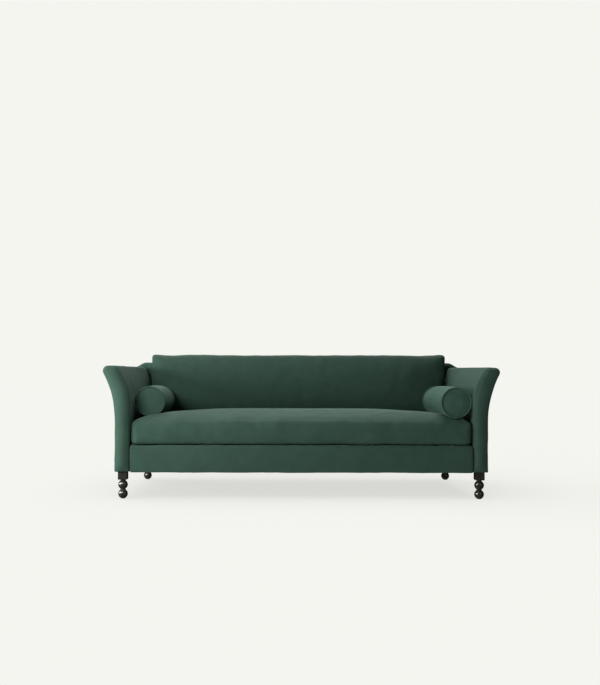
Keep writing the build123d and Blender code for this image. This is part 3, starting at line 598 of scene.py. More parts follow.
def makeArm(name, side):
    points = []
    rings = armRings()
    for y, inset in rings:
        fill = arm["rearFill"] * float(smoothStep(y / insideLow.y))
        up, over, down, under = armOutline(armTop(y, side), inset, fill)
        outline = up[:-1] + over[:-1] + down[:-1] + under[:-1]
        points += [(side * x, y, z) for x, z in outline]
    faces = ringFaces(len(rings), len(outline), "open")
    lastRing = len(points) - len(outline)
    fillRing(points, faces, 0, len(up), len(over), facingBulge)
    fillRing(points, faces, lastRing, len(up), len(over), lambda over, z: 0.0)
    piece = linkPiece(name + "Arm", points, faces)
    subdivide(piece, 2)
    roughen(piece, arm["unevenness"], arm["seeds"][side])
    dress(piece, "green_fabric", "frame", [name + "_arm_cover", name + "_arm_pad"])


makeArm("left", -1)
makeArm("right", 1)
print("arms made")


# Front rail: a padded band between the arms, its ends turned in beside them

rail = {
    "topRound": 0.011, "lip": 0.006, "lipDepth": 0.026, "bottomRound": 0.004, "footDrop": 0.005,
    "facePoints": 10, "topPoints": 6, "rearPoints": 3, "footPoints": 5, "endAngles": (90, 60, 30),
    "footInset": 0.6, "rearRound": 0.002, "endRound": 0.010, "dome": 0.003, "step": 0.04,
    "unevenness": ((0.22, 0.0006), (0.07, 0.00025)), "seed": 23,
}


def railOutline(low, high, inset):
    y0, y1 = low.y + inset, high.y
    z0, z1 = low.z - rail["footDrop"] + inset * rail["footInset"], high.z - inset
    under = rail["bottomRound"]
    over = rail["topRound"]
    back = rail["rearRound"]
    edge = z1 - rail["lip"]
    points = straight((y0, z0 + under), (y0, edge - over), rail["facePoints"])[:-1]
    points += arc((y0 + over, edge - over), over, pi, pi / 2, rail["topPoints"])
    points += [(y0 + rail["lipDepth"], edge), (y0 + rail["lipDepth"] + rail["lip"], z1)]
    points += arc((y1 - back, z1 - back), back, pi / 2, 0, rail["rearPoints"])
    points += arc((y1 - back, z0 + back), back, 0, -pi / 2, rail["rearPoints"])
    points += arc((y0 + under, z0 + under), under, -pi / 2, -pi, rail["footPoints"])[:-1]
    middle = (z0 + z1) / 2
    half = (z1 - z0) / 2
    domed = []
    for y, z in points:
        push = rail["dome"] * max(0.0, 1 - ((z - middle) / half) ** 2) if y < y0 + 1e-6 else 0.0
        domed.append((y - push, z))
    return domed


def makeRail():
    low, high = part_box("front_rail_cover")
    end = high.x
    rounding = rail["endRound"]
    turned = []
    for angle in np.radians(rail["endAngles"]):
        turned.append((end - rounding * (1 - sin(angle)), rounding * (1 - cos(angle))))
    level = np.linspace(end - rounding, rounding - end, round(2 * end / rail["step"]))
    rings = turned + [(x, 0.0) for x in level] + [(-x, inset) for x, inset in reversed(turned)]
    points = []
    for x, inset in rings:
        points += [(x, y, z) for y, z in railOutline(low, high, inset)]
    piece = linkPiece("frontRail", points, ringFaces(len(rings), len(points) // len(rings)))
    subdivide(piece, 1)
    roughen(piece, rail["unevenness"], rail["seed"])
    dress(piece, "green_fabric", "frame", ["front_rail_cover", "front_rail_pad"])


makeRail()
print("front rail made")


# Inside back: the raked, padded face, its top rounded down to the arms at both ends

insideBack = {
    "topRound": 0.030, "shoulder": 0.052, "slope": 0.075, "armWall": 0.016, "endRound": 0.030,
    "endRecess": 0.011, "columns": 58, "evenEnd": 1.3, "endColumns": (1.0, 0.74, 0.5, 0.3, 0.14, 0.03),
    "facePoints": 16, "roundPoints": 8, "topPoints": 4, "rearPoints": 10, "footPoints": 5,
    "slopeColumns": 9, "slopeStart": 0.008, "unevenness": ((0.25, 0.0008), (0.08, 0.0003)), "seed": 29,
}
rearInside, _, rearOverNose, rearOutside = armCurves(armRear, 0.0, arm["rearFill"])
shoulderX = innerBase + insideBack["shoulder"]
shoulderEnd = shoulderX + insideBack["slope"]


# level along the middle, then a soft slope that runs out on top of the arm
def shoulderTop(x):
    return armRear + (backTop - armRear) * float(smoothStep((shoulderEnd - x) / insideBack["slope"]))


def insideBackOutline(foot, top, end):
    radius = insideBack["topRound"]
    lean = asin(upward[1])
    crest = top - radius * (1 - sin(lean))
    crestY = foot + (crest - deckTop) * rakeSlope
    center = (crestY + radius * cos(lean), crest - radius * sin(lean))
    outline = straight((foot, deckTop), (crestY, crest), insideBack["facePoints"])[:-1]
    outline += arc(center, radius, pi - lean, pi / 2, insideBack["roundPoints"])
    outline += straight((center[0], top), (end, top), insideBack["topPoints"])[1:]
    outline += straight((end, top), (end, deckTop), insideBack["rearPoints"])[1:]
    outline += straight((end, deckTop), (foot, deckTop), insideBack["footPoints"])[1:-1]
    return outline


def makeInsideBack():
    inside = np.array([(innerBase, deckTop)] + rearInside)
    outside = np.array(rearOutside[::-1])
    reach = rearInside[-1][0]
    rounding = insideBack["endRound"]
    half = list(np.linspace(0, reach - rounding * insideBack["evenEnd"], insideBack["columns"] // 2)[1:])
    half += [reach - rounding * share for share in insideBack["endColumns"]]
    half += list(np.linspace(reach + insideBack["slopeStart"], shoulderEnd, insideBack["slopeColumns"]))
    points = []
    for x in [-part for part in reversed(half)] + [0.0] + half:
        recess = insideBack["endRecess"] * float(smoothStep((abs(x) - reach) / rounding + 1))
        outline = insideBackOutline(insideLow.y + recess, shoulderTop(abs(x)), insideHigh.y)
        for y, z in outline:
            besideArm = np.interp(z, inside[:, 1], inside[:, 0])
            room = np.interp(z, outside[:, 1], outside[:, 0]) - insideBack["armWall"] - besideArm
            bite = max(abs(x) - reach, 0.0) * min(room / (shoulderEnd - reach), 1.0)
            spot = min(abs(x) / reach, 1.0) * besideArm + bite
            points.append((np.sign(x) * spot, y, z))
    piece = linkPiece("insideBack", points, ringFaces(len(points) // len(outline), len(outline)))
    subdivide(piece, 1)
    roughen(piece, insideBack["unevenness"], insideBack["seed"])
    dress(piece, "green_fabric", "frame", ["inside_back_cover", "back_pad"])


makeInsideBack()


# Outside back: one taut panel with turned edges over thin padding

outsideBack = {
    "turn": 0.007, "bendAngles": (0, 30, 60), "lap": 0.012, "lapDraw": 0.004, "lapShare": 0.995,
    "dome": 0.004, "rows": 32, "columns": 96, "headRows": 4,
    "armRows": (0.010, 0.0065, 0.0035, 0.0015, 0.0003, -0.0005), "armRoom": 0.014, "headStart": 0.005,
    "slopePoints": 24, "leastSlope": 0.0002, "unevenness": ((0.35, 0.0008), (0.09, 0.00025)), "seed": 31,
}


# how far points lie from the nearest run of an open outline
def fromOutline(points, outline):
    least = np.full(len(points), np.inf)
    for start, end in zip(outline[:-1], outline[1:]):
        way = end - start
        share = np.clip((points - start) @ way / max(way @ way, 1e-12), 0, 1)
        least = np.minimum(least, np.linalg.norm(points - start - share[:, None] * way, axis=1))
    return least


def makeOutsideBack():
    low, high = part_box("outside_back_cover")
    flank = [(outerBase, low.z)] + rearOutside[::-1] + rearOverNose[-2::-1]
    slope = [(x, shoulderTop(x)) for x in np.linspace(shoulderEnd, shoulderX, outsideBack["slopePoints"])]
    slope = [(x, z) for x, z in slope if z > armRear + outsideBack["leastSlope"]]
    outline = np.array(flank + slope + [(0.0, backTop)])
    turn = outsideBack["turn"]
    bend = turn * (1 - np.cos(np.radians(outsideBack["bendAngles"])))
    heights = np.concatenate([
        low.z + bend, np.linspace(low.z + turn, armRear - outsideBack["armRoom"], outsideBack["rows"]),
        armRear - np.array(outsideBack["armRows"]),
        np.linspace(armRear + outsideBack["headStart"], backTop - turn, outsideBack["headRows"]),
        backTop - bend[::-1],
    ])
    grid = []
    for z in heights:
        edge = np.array(slope if z > armRear else flank)
        half = np.interp(z, edge[:, 1], edge[:, 0])
        run = np.linspace(-half + turn, half - turn, outsideBack["columns"])
        grid += [(x, z) for x in np.concatenate([-half + bend, run, half - bend[::-1]])]
    grid = np.array(grid)
    near = np.clip(fromOutline(np.abs(grid), outline) / turn, 0, 1)
    drop = turn * (1 - np.sqrt(1 - (1 - near) ** 2))
    drop = np.where(grid[:, 1] < low.z + turn, np.maximum(drop, turn - (grid[:, 1] - low.z)), drop)
    across = 1 - (grid[:, 0] / outerTip) ** 4
    upDown = 1 - (2 * (grid[:, 1] - low.z) / (backTop - low.z) - 1) ** 4
    depths = high.y - drop + outsideBack["dome"] * np.clip(across, 0, 1) * np.clip(upDown, 0, 1)
    points = [(x, y, z) for (x, z), y in zip(grid, depths)]
    columns = len(points) // len(heights)
    rim = rimOrder(len(heights), columns)
    lapY = high.y - turn - outsideBack["lap"]
    lapped = range(len(points), len(points) + len(rim))
    for index in rim:
        x, y, z = points[index]
        draw = outsideBack["lapDraw"] if z < deckTop else -outsideBack["lapDraw"]
        points.append((x * outsideBack["lapShare"], lapY, z + draw))
    faces = gridFaces(len(heights), columns) + bandFaces(rim, lapped) + [tuple(lapped)]
    piece = linkPiece("outsideBack", points, faces)
    roughen(piece, outsideBack["unevenness"], outsideBack["seed"])
    dress(piece, "green_fabric", "frame", ["outside_back_cover", "outside_back_pad"])


makeOutsideBack()
print("back made")


# Boxed cushions: a top and a bottom panel sewn to a band, swelled and then puckered along the seams

cushionMesh = {
    "edgeSteps": (0.0, 0.006, 0.014, 0.026), "rollAngles": (22, 45, 68, 90), "softSpare": 0.01,
    "softBlend": 0.08, "topShare": 0.7, "skin": 0.0008, "crownSharp": 6.0, "crownReach": 1.02,
    "gatherDrift": 2.0, "driftWave": 0.3, "leastGather": 0.35, "gatherSlope": 0.8, "gatherWave": 0.45,
    "seamInset": 0.3, "undersideGather": 0.2,
}


def gridLines(half, step):
    *fine, last = cushionMesh["edgeSteps"]
    inner = half - last
    middle = np.linspace(-inner, inner, round(2 * inner / step) + 1)
    edge = [half - part for part in fine]
    return np.array([-part for part in edge] + list(middle) + edge[::-1])


class Cushion:
    def __init__(self, name, sizes):
        self.sizes = sizes
        self.halfX = sizes["halfX"]
        self.halfY = sizes["halfY"]
        roll = sizes["roll"]
        boxing = sizes["boxing"]
        xs = gridLines(self.halfX - roll, sizes["step"])
        ys = gridLines(self.halfY - roll, sizes["step"])
        self.grid = (len(ys), len(xs))
        self.rim = rimOrder(*self.grid)
        panel = self.roundCorners(np.array([(x, y) for y in ys for x in xs]))
        along = np.roll(panel[self.rim], -1, axis=0) - np.roll(panel[self.rim], 1, axis=0)
        outward = np.stack([along[:, 1], -along[:, 0]], axis=1) / np.linalg.norm(along, axis=1)[:, None]
        points = [(x, y, 0.0) for x, y in panel]
        points += [(x, y, boxing + self.crown(x, y)) for x, y in panel]
        self.panelCount = len(panel)
        for level, outset in self.bandLevels():
            points += [(x, y, level) for x, y in panel[self.rim] + outward * outset]
        self.points = np.array(points)
        self.band = np.arange(2 * len(panel), len(points))
        onTop = np.arange(len(points)) // len(panel) == 1
        below = np.where(onTop, 0.0, boxing - self.points[:, 2])
        self.softenEdge(below, sizes["softTop"], sizes["softEnd"], -1)
        above = np.where(onTop, boxing, self.points[:, 2])
        self.softenEdge(above, sizes["softFoot"], sizes["softFoot"], 1)
        self.drawIn()
        self.piece = linkPiece(name, self.points, self.faces())

    def roundCorners(self, points):
        corner = self.sizes["corner"] - self.sizes["roll"]
        inner = np.array((self.halfX, self.halfY)) - self.sizes["roll"] - corner
        share = np.clip((np.abs(points) - inner) / corner, 0, 1)
        rounded = np.sign(points) * (inner + corner * share * np.sqrt(1 - share[:, ::-1] ** 2 / 2))
        return np.where((share > 0).all(axis=1)[:, None], rounded, points)

    # heights and outsets of the band's rings, from the bottom panel's edge up to the top panel's
    def bandLevels(self):
        roll = self.sizes["roll"]
        boxing = self.sizes["boxing"]
        angles = np.radians(cushionMesh["rollAngles"])
        low = [(roll * (1 - cos(angle)), roll * sin(angle)) for angle in angles]
        high = [(boxing - level, outset) for level, outset in reversed(low)]
        between = np.linspace(roll, boxing - roll, self.sizes["bandRows"])[1:-1]
        return low + [(level, roll) for level in between] + high

    def crown(self, x, y):
        sizes = self.sizes
        roll = sizes["roll"]
        shareX = np.clip((self.halfX - roll - np.abs(x)) / sizes["runX"], 1e-4, 1.0)
        shareY = np.clip((self.halfY - roll - np.abs(y)) / sizes["runY"], 1e-4, 1.0)
        sharp = cushionMesh["crownSharp"]
        share = (shareX**-sharp + shareY**-sharp) ** (-1 / sharp)
        share = np.minimum(share * cushionMesh["crownReach"], 1.0)
        power = 2 + sizes["frontSteep"] * smoothStep(-2 * y / self.halfY)
        return sizes["crown"] * (1 - (1 - share) ** power)

    # rounds the edges of the box, for points at a depth below its top or above its foot
    def softenEdge(self, depth, longRadius, endRadius, upDown):
        corner = endRadius + cushionMesh["softSpare"]
        beyond = np.abs(self.points[:, :2]) - (np.array((self.halfX, self.halfY)) - corner)
        outside = np.maximum(beyond, 0.0)
        reach = np.linalg.norm(outside, axis=1)
        inset = np.clip(corner - reach - np.minimum(beyond.max(axis=1), 0.0), 0.0, None)
        onLong = smoothStep(0.5 + (beyond[:, 1] - beyond[:, 0]) / cushionMesh["softBlend"])
        radius = endRadius + (longRadius - endRadius) * onLong
        inner = np.stack([1 - onLong, onLong], axis=1)
        way = np.where(reach[:, None] > 1e-9, outside / np.maximum(reach, 1e-9)[:, None], inner)
        u = np.clip(1 - inset / radius, 0, 1)
        v = np.clip(1 - depth / radius, 0, 1)
        draw = radius * u * (1 - np.sqrt(1 - v * v / 2))
        self.points[:, :2] -= np.sign(self.points[:, :2]) * way * draw[:, None]
        self.points[:, 2] += upDown * radius * v * (1 - np.sqrt(1 - u * u / 2))

    def drawIn(self):
        x, y = self.points[:, 0].copy(), self.points[:, 1].copy()
        amount = self.sizes["drawIn"]
        fromEnd = smoothStep(np.abs(x) / self.halfX)
        self.points[:, 1] += amount * (1 - (x / self.halfX) ** 2) * smoothStep(-y / self.halfY)
        self.points[:, 0] -= np.sign(x) * amount / 2 * (1 - (y / self.halfY) ** 2) * fromEnd

    def bandRings(self):
        return list(self.band.reshape(-1, len(self.rim)))

    def faces(self):
        faces = gridFaces(*self.grid) + gridFaces(*self.grid, self.panelCount)
        loops = [self.rim] + self.bandRings() + [self.rim + self.panelCount]
        for lower, upper in zip(loops[:-1], loops[1:]):
            faces += bandFaces(lower, upper)
        return faces

    # the ring at the middle of each rolled edge is the seam
    def seams(self):
        rings = self.bandRings()
        return rings[1], rings[-2]

    # draws the seams in and gathers the cloth beside them into short puckers
    def stitch(self, points, seed):
        settings = {**cushionMesh, **self.sizes["stitch"]}
        roll = self.sizes["roll"]
        boxing = self.sizes["boxing"]
        writePoints(self.piece, points)
        normals = readNormals(self.piece)
        random = np.random.default_rng(seed)
        result = points.copy()
        for seam in self.seams():
            result[seam] -= normals[seam] * settings["groove"]
        x, y, z = points.T
        drift = settings["gatherDrift"] * ripples(points, settings["driftWave"], seed + 3)
        gather = np.zeros(len(points))
        for pitch in settings["pitches"]:
            gather += np.sin((x + y) * 2 * pi / pitch + random.uniform(0, 2 * pi) + drift)
        gather /= len(settings["pitches"])
        waves = smoothStep(0.5 + settings["gatherSlope"] * ripples(points, settings["gatherWave"], seed + 5))
        uneven = settings["leastGather"] + (1 - settings["leastGather"]) * waves
        inset = np.minimum(self.halfX - np.abs(x), self.halfY - np.abs(y))
        fromEdge = np.where(inset > roll, inset, np.where(z > boxing * 0.5, boxing - z, z))
        fade = np.exp(-np.abs(fromEdge - roll * settings["seamInset"]) / settings["reach"])
        fade[:self.panelCount] *= settings["undersideGather"]
        return result + normals * (gather * fade * uneven * settings["pucker"])[:, None]

    # the finished shape: held says which of the band stays flat, tight where the top may not puff up
    def fill(self, held, tight):
        sizes = self.sizes
        stitchSeed, roughSeed = sizes["seeds"]
        heldBand = self.band[held(self.points[self.band, 1])]
        sewn = np.unique(np.concatenate([*self.seams(), np.arange(self.panelCount), heldBand]))
        points = swell(self.piece, sewn, sizes["swell"])
        writePoints(self.piece, self.stitch(points, stitchSeed))
        subdivide(self.piece, 1)
        roughen(self.piece, sizes["unevenness"], roughSeed)
        points = readPoints(self.piece)
        x, y, z = points.T
        full = sizes["boxing"] + self.crown(x, y) * sizes["fullCrown"] / sizes["crown"]
        room = full + sizes["puff"] * (1 - tight(x, y)) - cushionMesh["skin"]
        onTop = z > sizes["boxing"] * cushionMesh["topShare"]
        points[:, 2] = np.maximum(np.where(onTop, np.minimum(z, room), z), 0.0)
        return points


seatLow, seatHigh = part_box("seat_cushion_cover")
seat = {
    "halfX": seatHigh.x, "halfY": (seatHigh.y - seatLow.y) / 2, "boxing": 0.141, "crown": 0.042,
    "runX": 0.620, "runY": 0.300, "roll": 0.014, "corner": 0.032, "drawIn": 0.007, "step": 0.0165,
    "bandRows": 9, "softTop": 0.062, "softEnd": 0.034, "softFoot": 0.018, "frontSteep": 1.2,
    "swell": clothSwell,
    "stitch": {"groove": 0.0010, "pitches": (0.047, 0.031, 0.071), "reach": 0.024, "pucker": 0.0012},
    "fullCrown": 0.048, "puff": 0.006, "heldReach": 0.004, "tightRun": 0.30, "tightFade": 0.06,
    "frontBow": 0.014, "bowRun": 0.26, "frontRoom": 0.004, "sideRoom": 0.0015, "bolsterRoom": 0.0012,
    "unevenness": ((0.19, 0.0011), (0.06, 0.00035)), "seeds": (41, 43),
}

bolster = {
    "radius": 0.088, "endRadius": 0.084, "dome": 0.008, "taper": 0.070, "length": 0.500, "around": 96,
    "endRings": 13, "barrelRings": 12,
    "taperSteps": (0.03, 0.07, 0.14, 0.24, 0.38, 0.55, 0.75, 1.0), "least": 0.002,
    "swell": {**clothSwell, "cap": 0.004, "pressure": 3.0}, "sewnReach": 0.0005, "fullTop": 0.006,
    "gathers": 0.0011, "gatherReach": 0.030, "gatherDrift": 1.6, "driftWave": 0.9,
    "folds": ((41, 0.6), (23, 0.4)), "barrelShare": 0.999, "fullRoom": 0.004,
    "dimple": 0.0009, "dimpleReach": 0.018, "zipAngle": 45, "zipHalf": 0.16, "zipSink": 0.0016,
    "proud": 0.0010, "endProud": 0.002, "seatReach": 0.004, "seatFade": 0.02,
    "unevenness": ((0.11, 0.0008), (0.04, 0.0003)),
}


# the turned axes of a bolster and its middle, from its node
def bolsterFrame(name):
    axis = jointAxis[name + "_bolster_zip"]
    across = axis.cross(Vector((0, 0, 1))).normalized()
    turn = np.array(Matrix((across, axis, across.cross(axis))).transposed())
    local = np.array([vertex.co for vertex in nodes[name + "_bolster_cover"].data.vertices]) @ turn
    return turn, turn @ ((local.min(0) + local.max(0)) / 2)


# presses points that lie inside a bolster's round body out below it
def pressUnder(points, name):
    turn, center = bolsterFrame(name)
    across, along, over = ((points - center) @ turn).T
    inRound = np.clip((bolster["radius"] + seat["bolsterRoom"]) ** 2 - across**2, 0, None)
    reach = bolster["length"] / 2 + bolster["seatReach"]
    ends = smoothStep((reach - np.abs(along)) / bolster["seatFade"])
    dip = np.clip(over + np.sqrt(inRound), 0, None) * (inRound > 0) * (over < 0) * ends
    return points - np.outer(dip, turn[:, 2])


def makeSeat():
    cushion = Cushion("seatCushion", seat)
    rearEdge = cushion.halfY

    def held(y):
        return y > rearEdge - seat["roll"] - seat["heldReach"]

    def tight(x, y):
        return smoothStep((y - (rearEdge - seat["tightRun"])) / seat["tightFade"])

    points = cushion.fill(held, tight)
    inFront = 1 - smoothStep((points[:, 1] + rearEdge) / seat["bowRun"])
    bow = seat["frontBow"] * (1 - (points[:, 0] / cushion.halfX) ** 4) * inFront
    points[:, 2] += bow * np.clip(points[:, 2] / seat["boxing"], 0, 1) ** 2
    side = innerBase - seat["sideRoom"]
    points[:, 0] = np.clip(points[:, 0], -side, side)
    points[:, 1] = np.clip(points[:, 1], -rearEdge - seat["frontRoom"], rearEdge)
    points += np.array((0.0, (seatLow.y + seatHigh.y) / 2, seatLow.z))
    for name in ("left", "right"):
        points = pressUnder(points, name)
    writePoints(cushion.piece, points)
    dress(cushion.piece, "green_fabric", "seat_cushion", ["seat_cushion_cover", "seat_cushion_core"])


makeSeat()
print("seat cushion made")


def spread(node, direction):
    along = np.array([vertex.co for vertex in nodes[node].data.vertices]) @ direction
    return float(along.min()), float(along.max())


backFoot, backHead = spread("back_cushion_cover", upward)
backFace = spread("back_cushion_cover", ahead)[0]
backCushion = {
    "halfX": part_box("back_cushion_cover")[1].x, "halfY": (backHead - backFoot) / 2, "boxing": 0.118,
    "crown": 0.049, "runX": 0.430, "runY": 0.150, "roll": 0.014, "corner": 0.024, "drawIn": 0.008,
    "step": 0.0165, "bandRows": 8, "softTop": 0.024, "softEnd": 0.024, "softFoot": 0.016, "frontSteep": 0.0,
    "swell": clothSwell,
    "stitch": {"groove": 0.0018, "pitches": (0.043, 0.029, 0.067), "reach": 0.026, "pucker": 0.0010},
    "fullCrown": 0.056, "puff": 0.007, "tightEnd": (0.55, 0.12), "tightFoot": (0.12, 0.08),
    "ear": 0.007, "earStart": (0.90, 0.5), "headLift": 0.005, "liftStart": -0.2,
    "endReach": {-1: 0.006, 1: 0.019}, "reachStart": (0.85, -0.4), "endRoom": 0.008, "footRoom": 0.0005,
    "unevenness": ((0.17, 0.0013), (0.06, 0.0004)), "seeds": (53, 59),
}


def makeBackCushion():
    sizes = backCushion
    cushion = Cushion("backCushion", sizes)
    halfX, halfY = cushion.halfX, cushion.halfY

    def held(y):
        return y < -halfY + sizes["roll"] + sizes["drawIn"]

    # flat beside the bolsters
    def tight(x, y):
        end, endFade = sizes["tightEnd"]
        foot, footFade = sizes["tightFoot"]
        return smoothStep((np.abs(x) - end) / endFade) * smoothStep((foot - y) / footFade)

    # rises from nothing at a start to one at the cushion's edge
    def towardsEdge(share, start):
        return smoothStep((share - start) / (1 - start))

    points = cushion.fill(held, tight)
    edge = halfX + sizes["endRoom"]
    points[:, 0] = np.clip(points[:, 0], -edge, edge)
    points[:, 1] = np.maximum(points[:, 1], -halfY + sizes["footRoom"])
    earAcross, earUp = sizes["earStart"]
    ear = towardsEdge(np.abs(points[:, 0]) / halfX, earAcross)
    points[:, 1] += sizes["ear"] * ear * towardsEdge(points[:, 1] / halfY, earUp)
    points[:, 1] += sizes["headLift"] * towardsEdge(points[:, 1] / halfY, sizes["liftStart"])
    reachAcross, reachUp = sizes["reachStart"]
    upShare = towardsEdge(points[:, 1] / halfY, reachUp)
    for side, reach in sizes["endReach"].items():
        points[:, 0] += side * reach * upShare * towardsEdge(side * points[:, 0] / halfX, reachAcross)
    placed = np.outer(points[:, 0], eastward) + np.outer(points[:, 1] + (backFoot + backHead) / 2, upward)
    placed += np.outer(points[:, 2] + backFace, ahead)
    writePoints(cushion.piece, placed)
    dress(cushion.piece, "green_fabric", "back_cushion", ["back_cushion_cover", "back_cushion_core"])


makeBackCushion()
print("back cushion made")


# Bolsters: a filled tube with domed ends, corded where the ends are sewn on

def bolsterProfile():
    half = bolster["length"] / 2
    rim = half - bolster["dome"]
    endRadius = bolster["endRadius"]
    profile = []
    for share in np.linspace(0, 1, bolster["endRings"]):
        profile.append((-half + bolster["dome"] * share**2, max(endRadius * share, bolster["least"])))
    for share in bolster["taperSteps"]:
        swelling = (bolster["radius"] - endRadius) * (1 - (1 - share) ** 2)
        profile.append((-rim + bolster["taper"] * share, endRadius + swelling))
    barrel = np.linspace(-rim + bolster["taper"], 0, bolster["barrelRings"])
    profile += [(y, bolster["radius"]) for y in barrel[1:]]
    return profile + [(-y, radius) for y, radius in reversed(profile[:-1])]


def placeBolster(piece, name):
    turn, center = bolsterFrame(name)
    writePoints(piece, readPoints(piece) @ turn.T + center)


def makeBolster(name, side, seed):
    half = bolster["length"] / 2
    rim = half - bolster["dome"]
    profile = bolsterProfile()
    count = bolster["around"]
    turns = [2 * pi * step / count for step in range(count)]
    points = [(radius * cos(turn), y, radius * sin(turn)) for y, radius in profile for turn in turns]
    piece = linkPiece(name + "Bolster", points, ringFaces(len(profile), count))
    start = readPoints(piece)
    end = np.sign(start[:, 1])
    fromAxis = np.hypot(start[:, 0], start[:, 2])
    inward = rim - np.abs(start[:, 1])
    swelled = swell(piece, np.where(np.abs(inward) < bolster["sewnReach"])[0], bolster["swell"])
    around = np.arctan2(swelled[:, 2], swelled[:, 0])
    radial = np.stack([np.cos(around), np.zeros(len(around)), np.sin(around)], axis=1)
    onBarrel = (fromAxis > bolster["endRadius"] * bolster["barrelShare"]) & (inward > -bolster["sewnReach"])
    onRims = radial + np.outer(end, (0.0, 1.0, 0.0))
    drift = bolster["gatherDrift"] * ripples(onRims, bolster["driftWave"], seed)
    (many, manyShare), (few, fewShare) = bolster["folds"]
    folds = np.sin(around * many + drift) * manyShare + np.sin(around * few - drift) * fewShare
    gathered = np.where(onBarrel, np.exp(-np.abs(inward) / bolster["gatherReach"]), 0.0)
    dimpled = np.where(onBarrel, 0.0, np.exp(-(bolster["endRadius"] - fromAxis) / bolster["dimpleReach"]))
    swelled += radial * (folds * gathered * bolster["gathers"])[:, None]
    swelled[:, 1] += end * folds * dimpled * bolster["dimple"]
    writePoints(piece, swelled)
    subdivide(piece, 1)
    roughen(piece, bolster["unevenness"], seed + 2)
    points = readPoints(piece)
    around = np.arctan2(points[:, 2], points[:, 0] * side)
    byZip = np.exp(-(((around + radians(bolster["zipAngle"])) / bolster["zipHalf"]) ** 4))
    limit = bolster["radius"] + bolster["proud"] - bolster["zipSink"] * byZip
    shrink = np.minimum(1.0, limit / np.maximum(np.hypot(points[:, 0], points[:, 2]), 1e-6))
    points[:, [0, 2]] *= shrink[:, None]
    points[:, 1] = np.clip(points[:, 1], -half - bolster["endProud"], half)
    alongShare = np.clip(1 - (points[:, 1] / (rim - bolster["fullRoom"])) ** 2, 0, 1)
    points[:, 2] += bolster["fullTop"] * alongShare * smoothStep(points[:, 2] / bolster["radius"])
    writePoints(piece, points)
    placeBolster(piece, name)
    replaced = [name + "_bolster_cover", name + "_bolster_core"]
    dress(piece, "green_fabric", name + "_bolster", replaced, paintedSheenBolsterCloth)


piping = {
    "radius": 0.0045, "bite": 0.0014, "seatAngle": 45, "steps": 180, "sides": 12,
    "lumps": (0.05, 47), "strands": (0.03, 4, 60),
    "meetAngle": 270, "meetHalf": 0.006, "meetSwell": 0.0016, "meetSink": 0.0012, "meetOut": 0.0030,
}


# the covered cord round both ends, with the small tuck where its ends meet
def makePiping(name):
    reach = (piping["radius"] - piping["bite"]) * cos(radians(piping["seatAngle"]))
    rim = bolster["length"] / 2 - bolster["dome"] + reach
    ringRadius = bolster["endRadius"] + reach
    lump, lumpCount = piping["lumps"]
    strand, strandCount, strandTurns = piping["strands"]
    steps, sides = piping["steps"], piping["sides"]
    points, faces = [], []
    for end in (-1, 1):
        faces += ringFaces(steps, sides, "joined", len(points))
        for angle in (2 * pi * step / steps for step in range(steps)):
            meet = np.exp(-(((angle - radians(piping["meetAngle"])) * ringRadius / piping["meetHalf"]) ** 2))
            swollen = piping["radius"] * (1 + lump * sin(angle * lumpCount)) + piping["meetSwell"] * meet
            for turn in (2 * pi * part / sides for part in range(sides)):
                ridge = swollen * (1 + strand * sin(strandCount * turn + angle * strandTurns))
                out = ringRadius - piping["meetSink"] * meet + ridge * cos(turn)
                y = end * (rim + piping["meetOut"] * meet) + ridge * sin(turn)
                points.append((out * cos(angle), y, out * sin(angle)))
    piece = linkPiece(name + "BolsterPiping", points, faces)
    placeBolster(piece, name)
    dress(piece, "green_fabric", name + "_bolster", [name + "_bolster_piping"], paintedSheenBolsterCloth)


makeBolster("left", -1, 61)
makeBolster("right", 1, 71)
makePiping("left")
makePiping("right")
print("bolsters made")


# Zips: two tapes with a row of moulded teeth between, laid where the CAD zips are

zipper = {
    "gap": 0.0006, "tapeThickness": 0.0009, "tapeStep": 0.012,
    "tapeSection": ((0, 0), (0, 1), (0.12, 1.5), (0.5, 1), (0.94, 1), (1, 0.8), (1, 0)),
    "toothPitch": 0.0030, "toothLength": 0.0017, "toothReach": 0.0029, "toothShift": 0.0004,
    "toothDrop": 0.0008, "endRoom": 0.006, "stopLength": 0.004, "stopHalf": 0.0034,
}


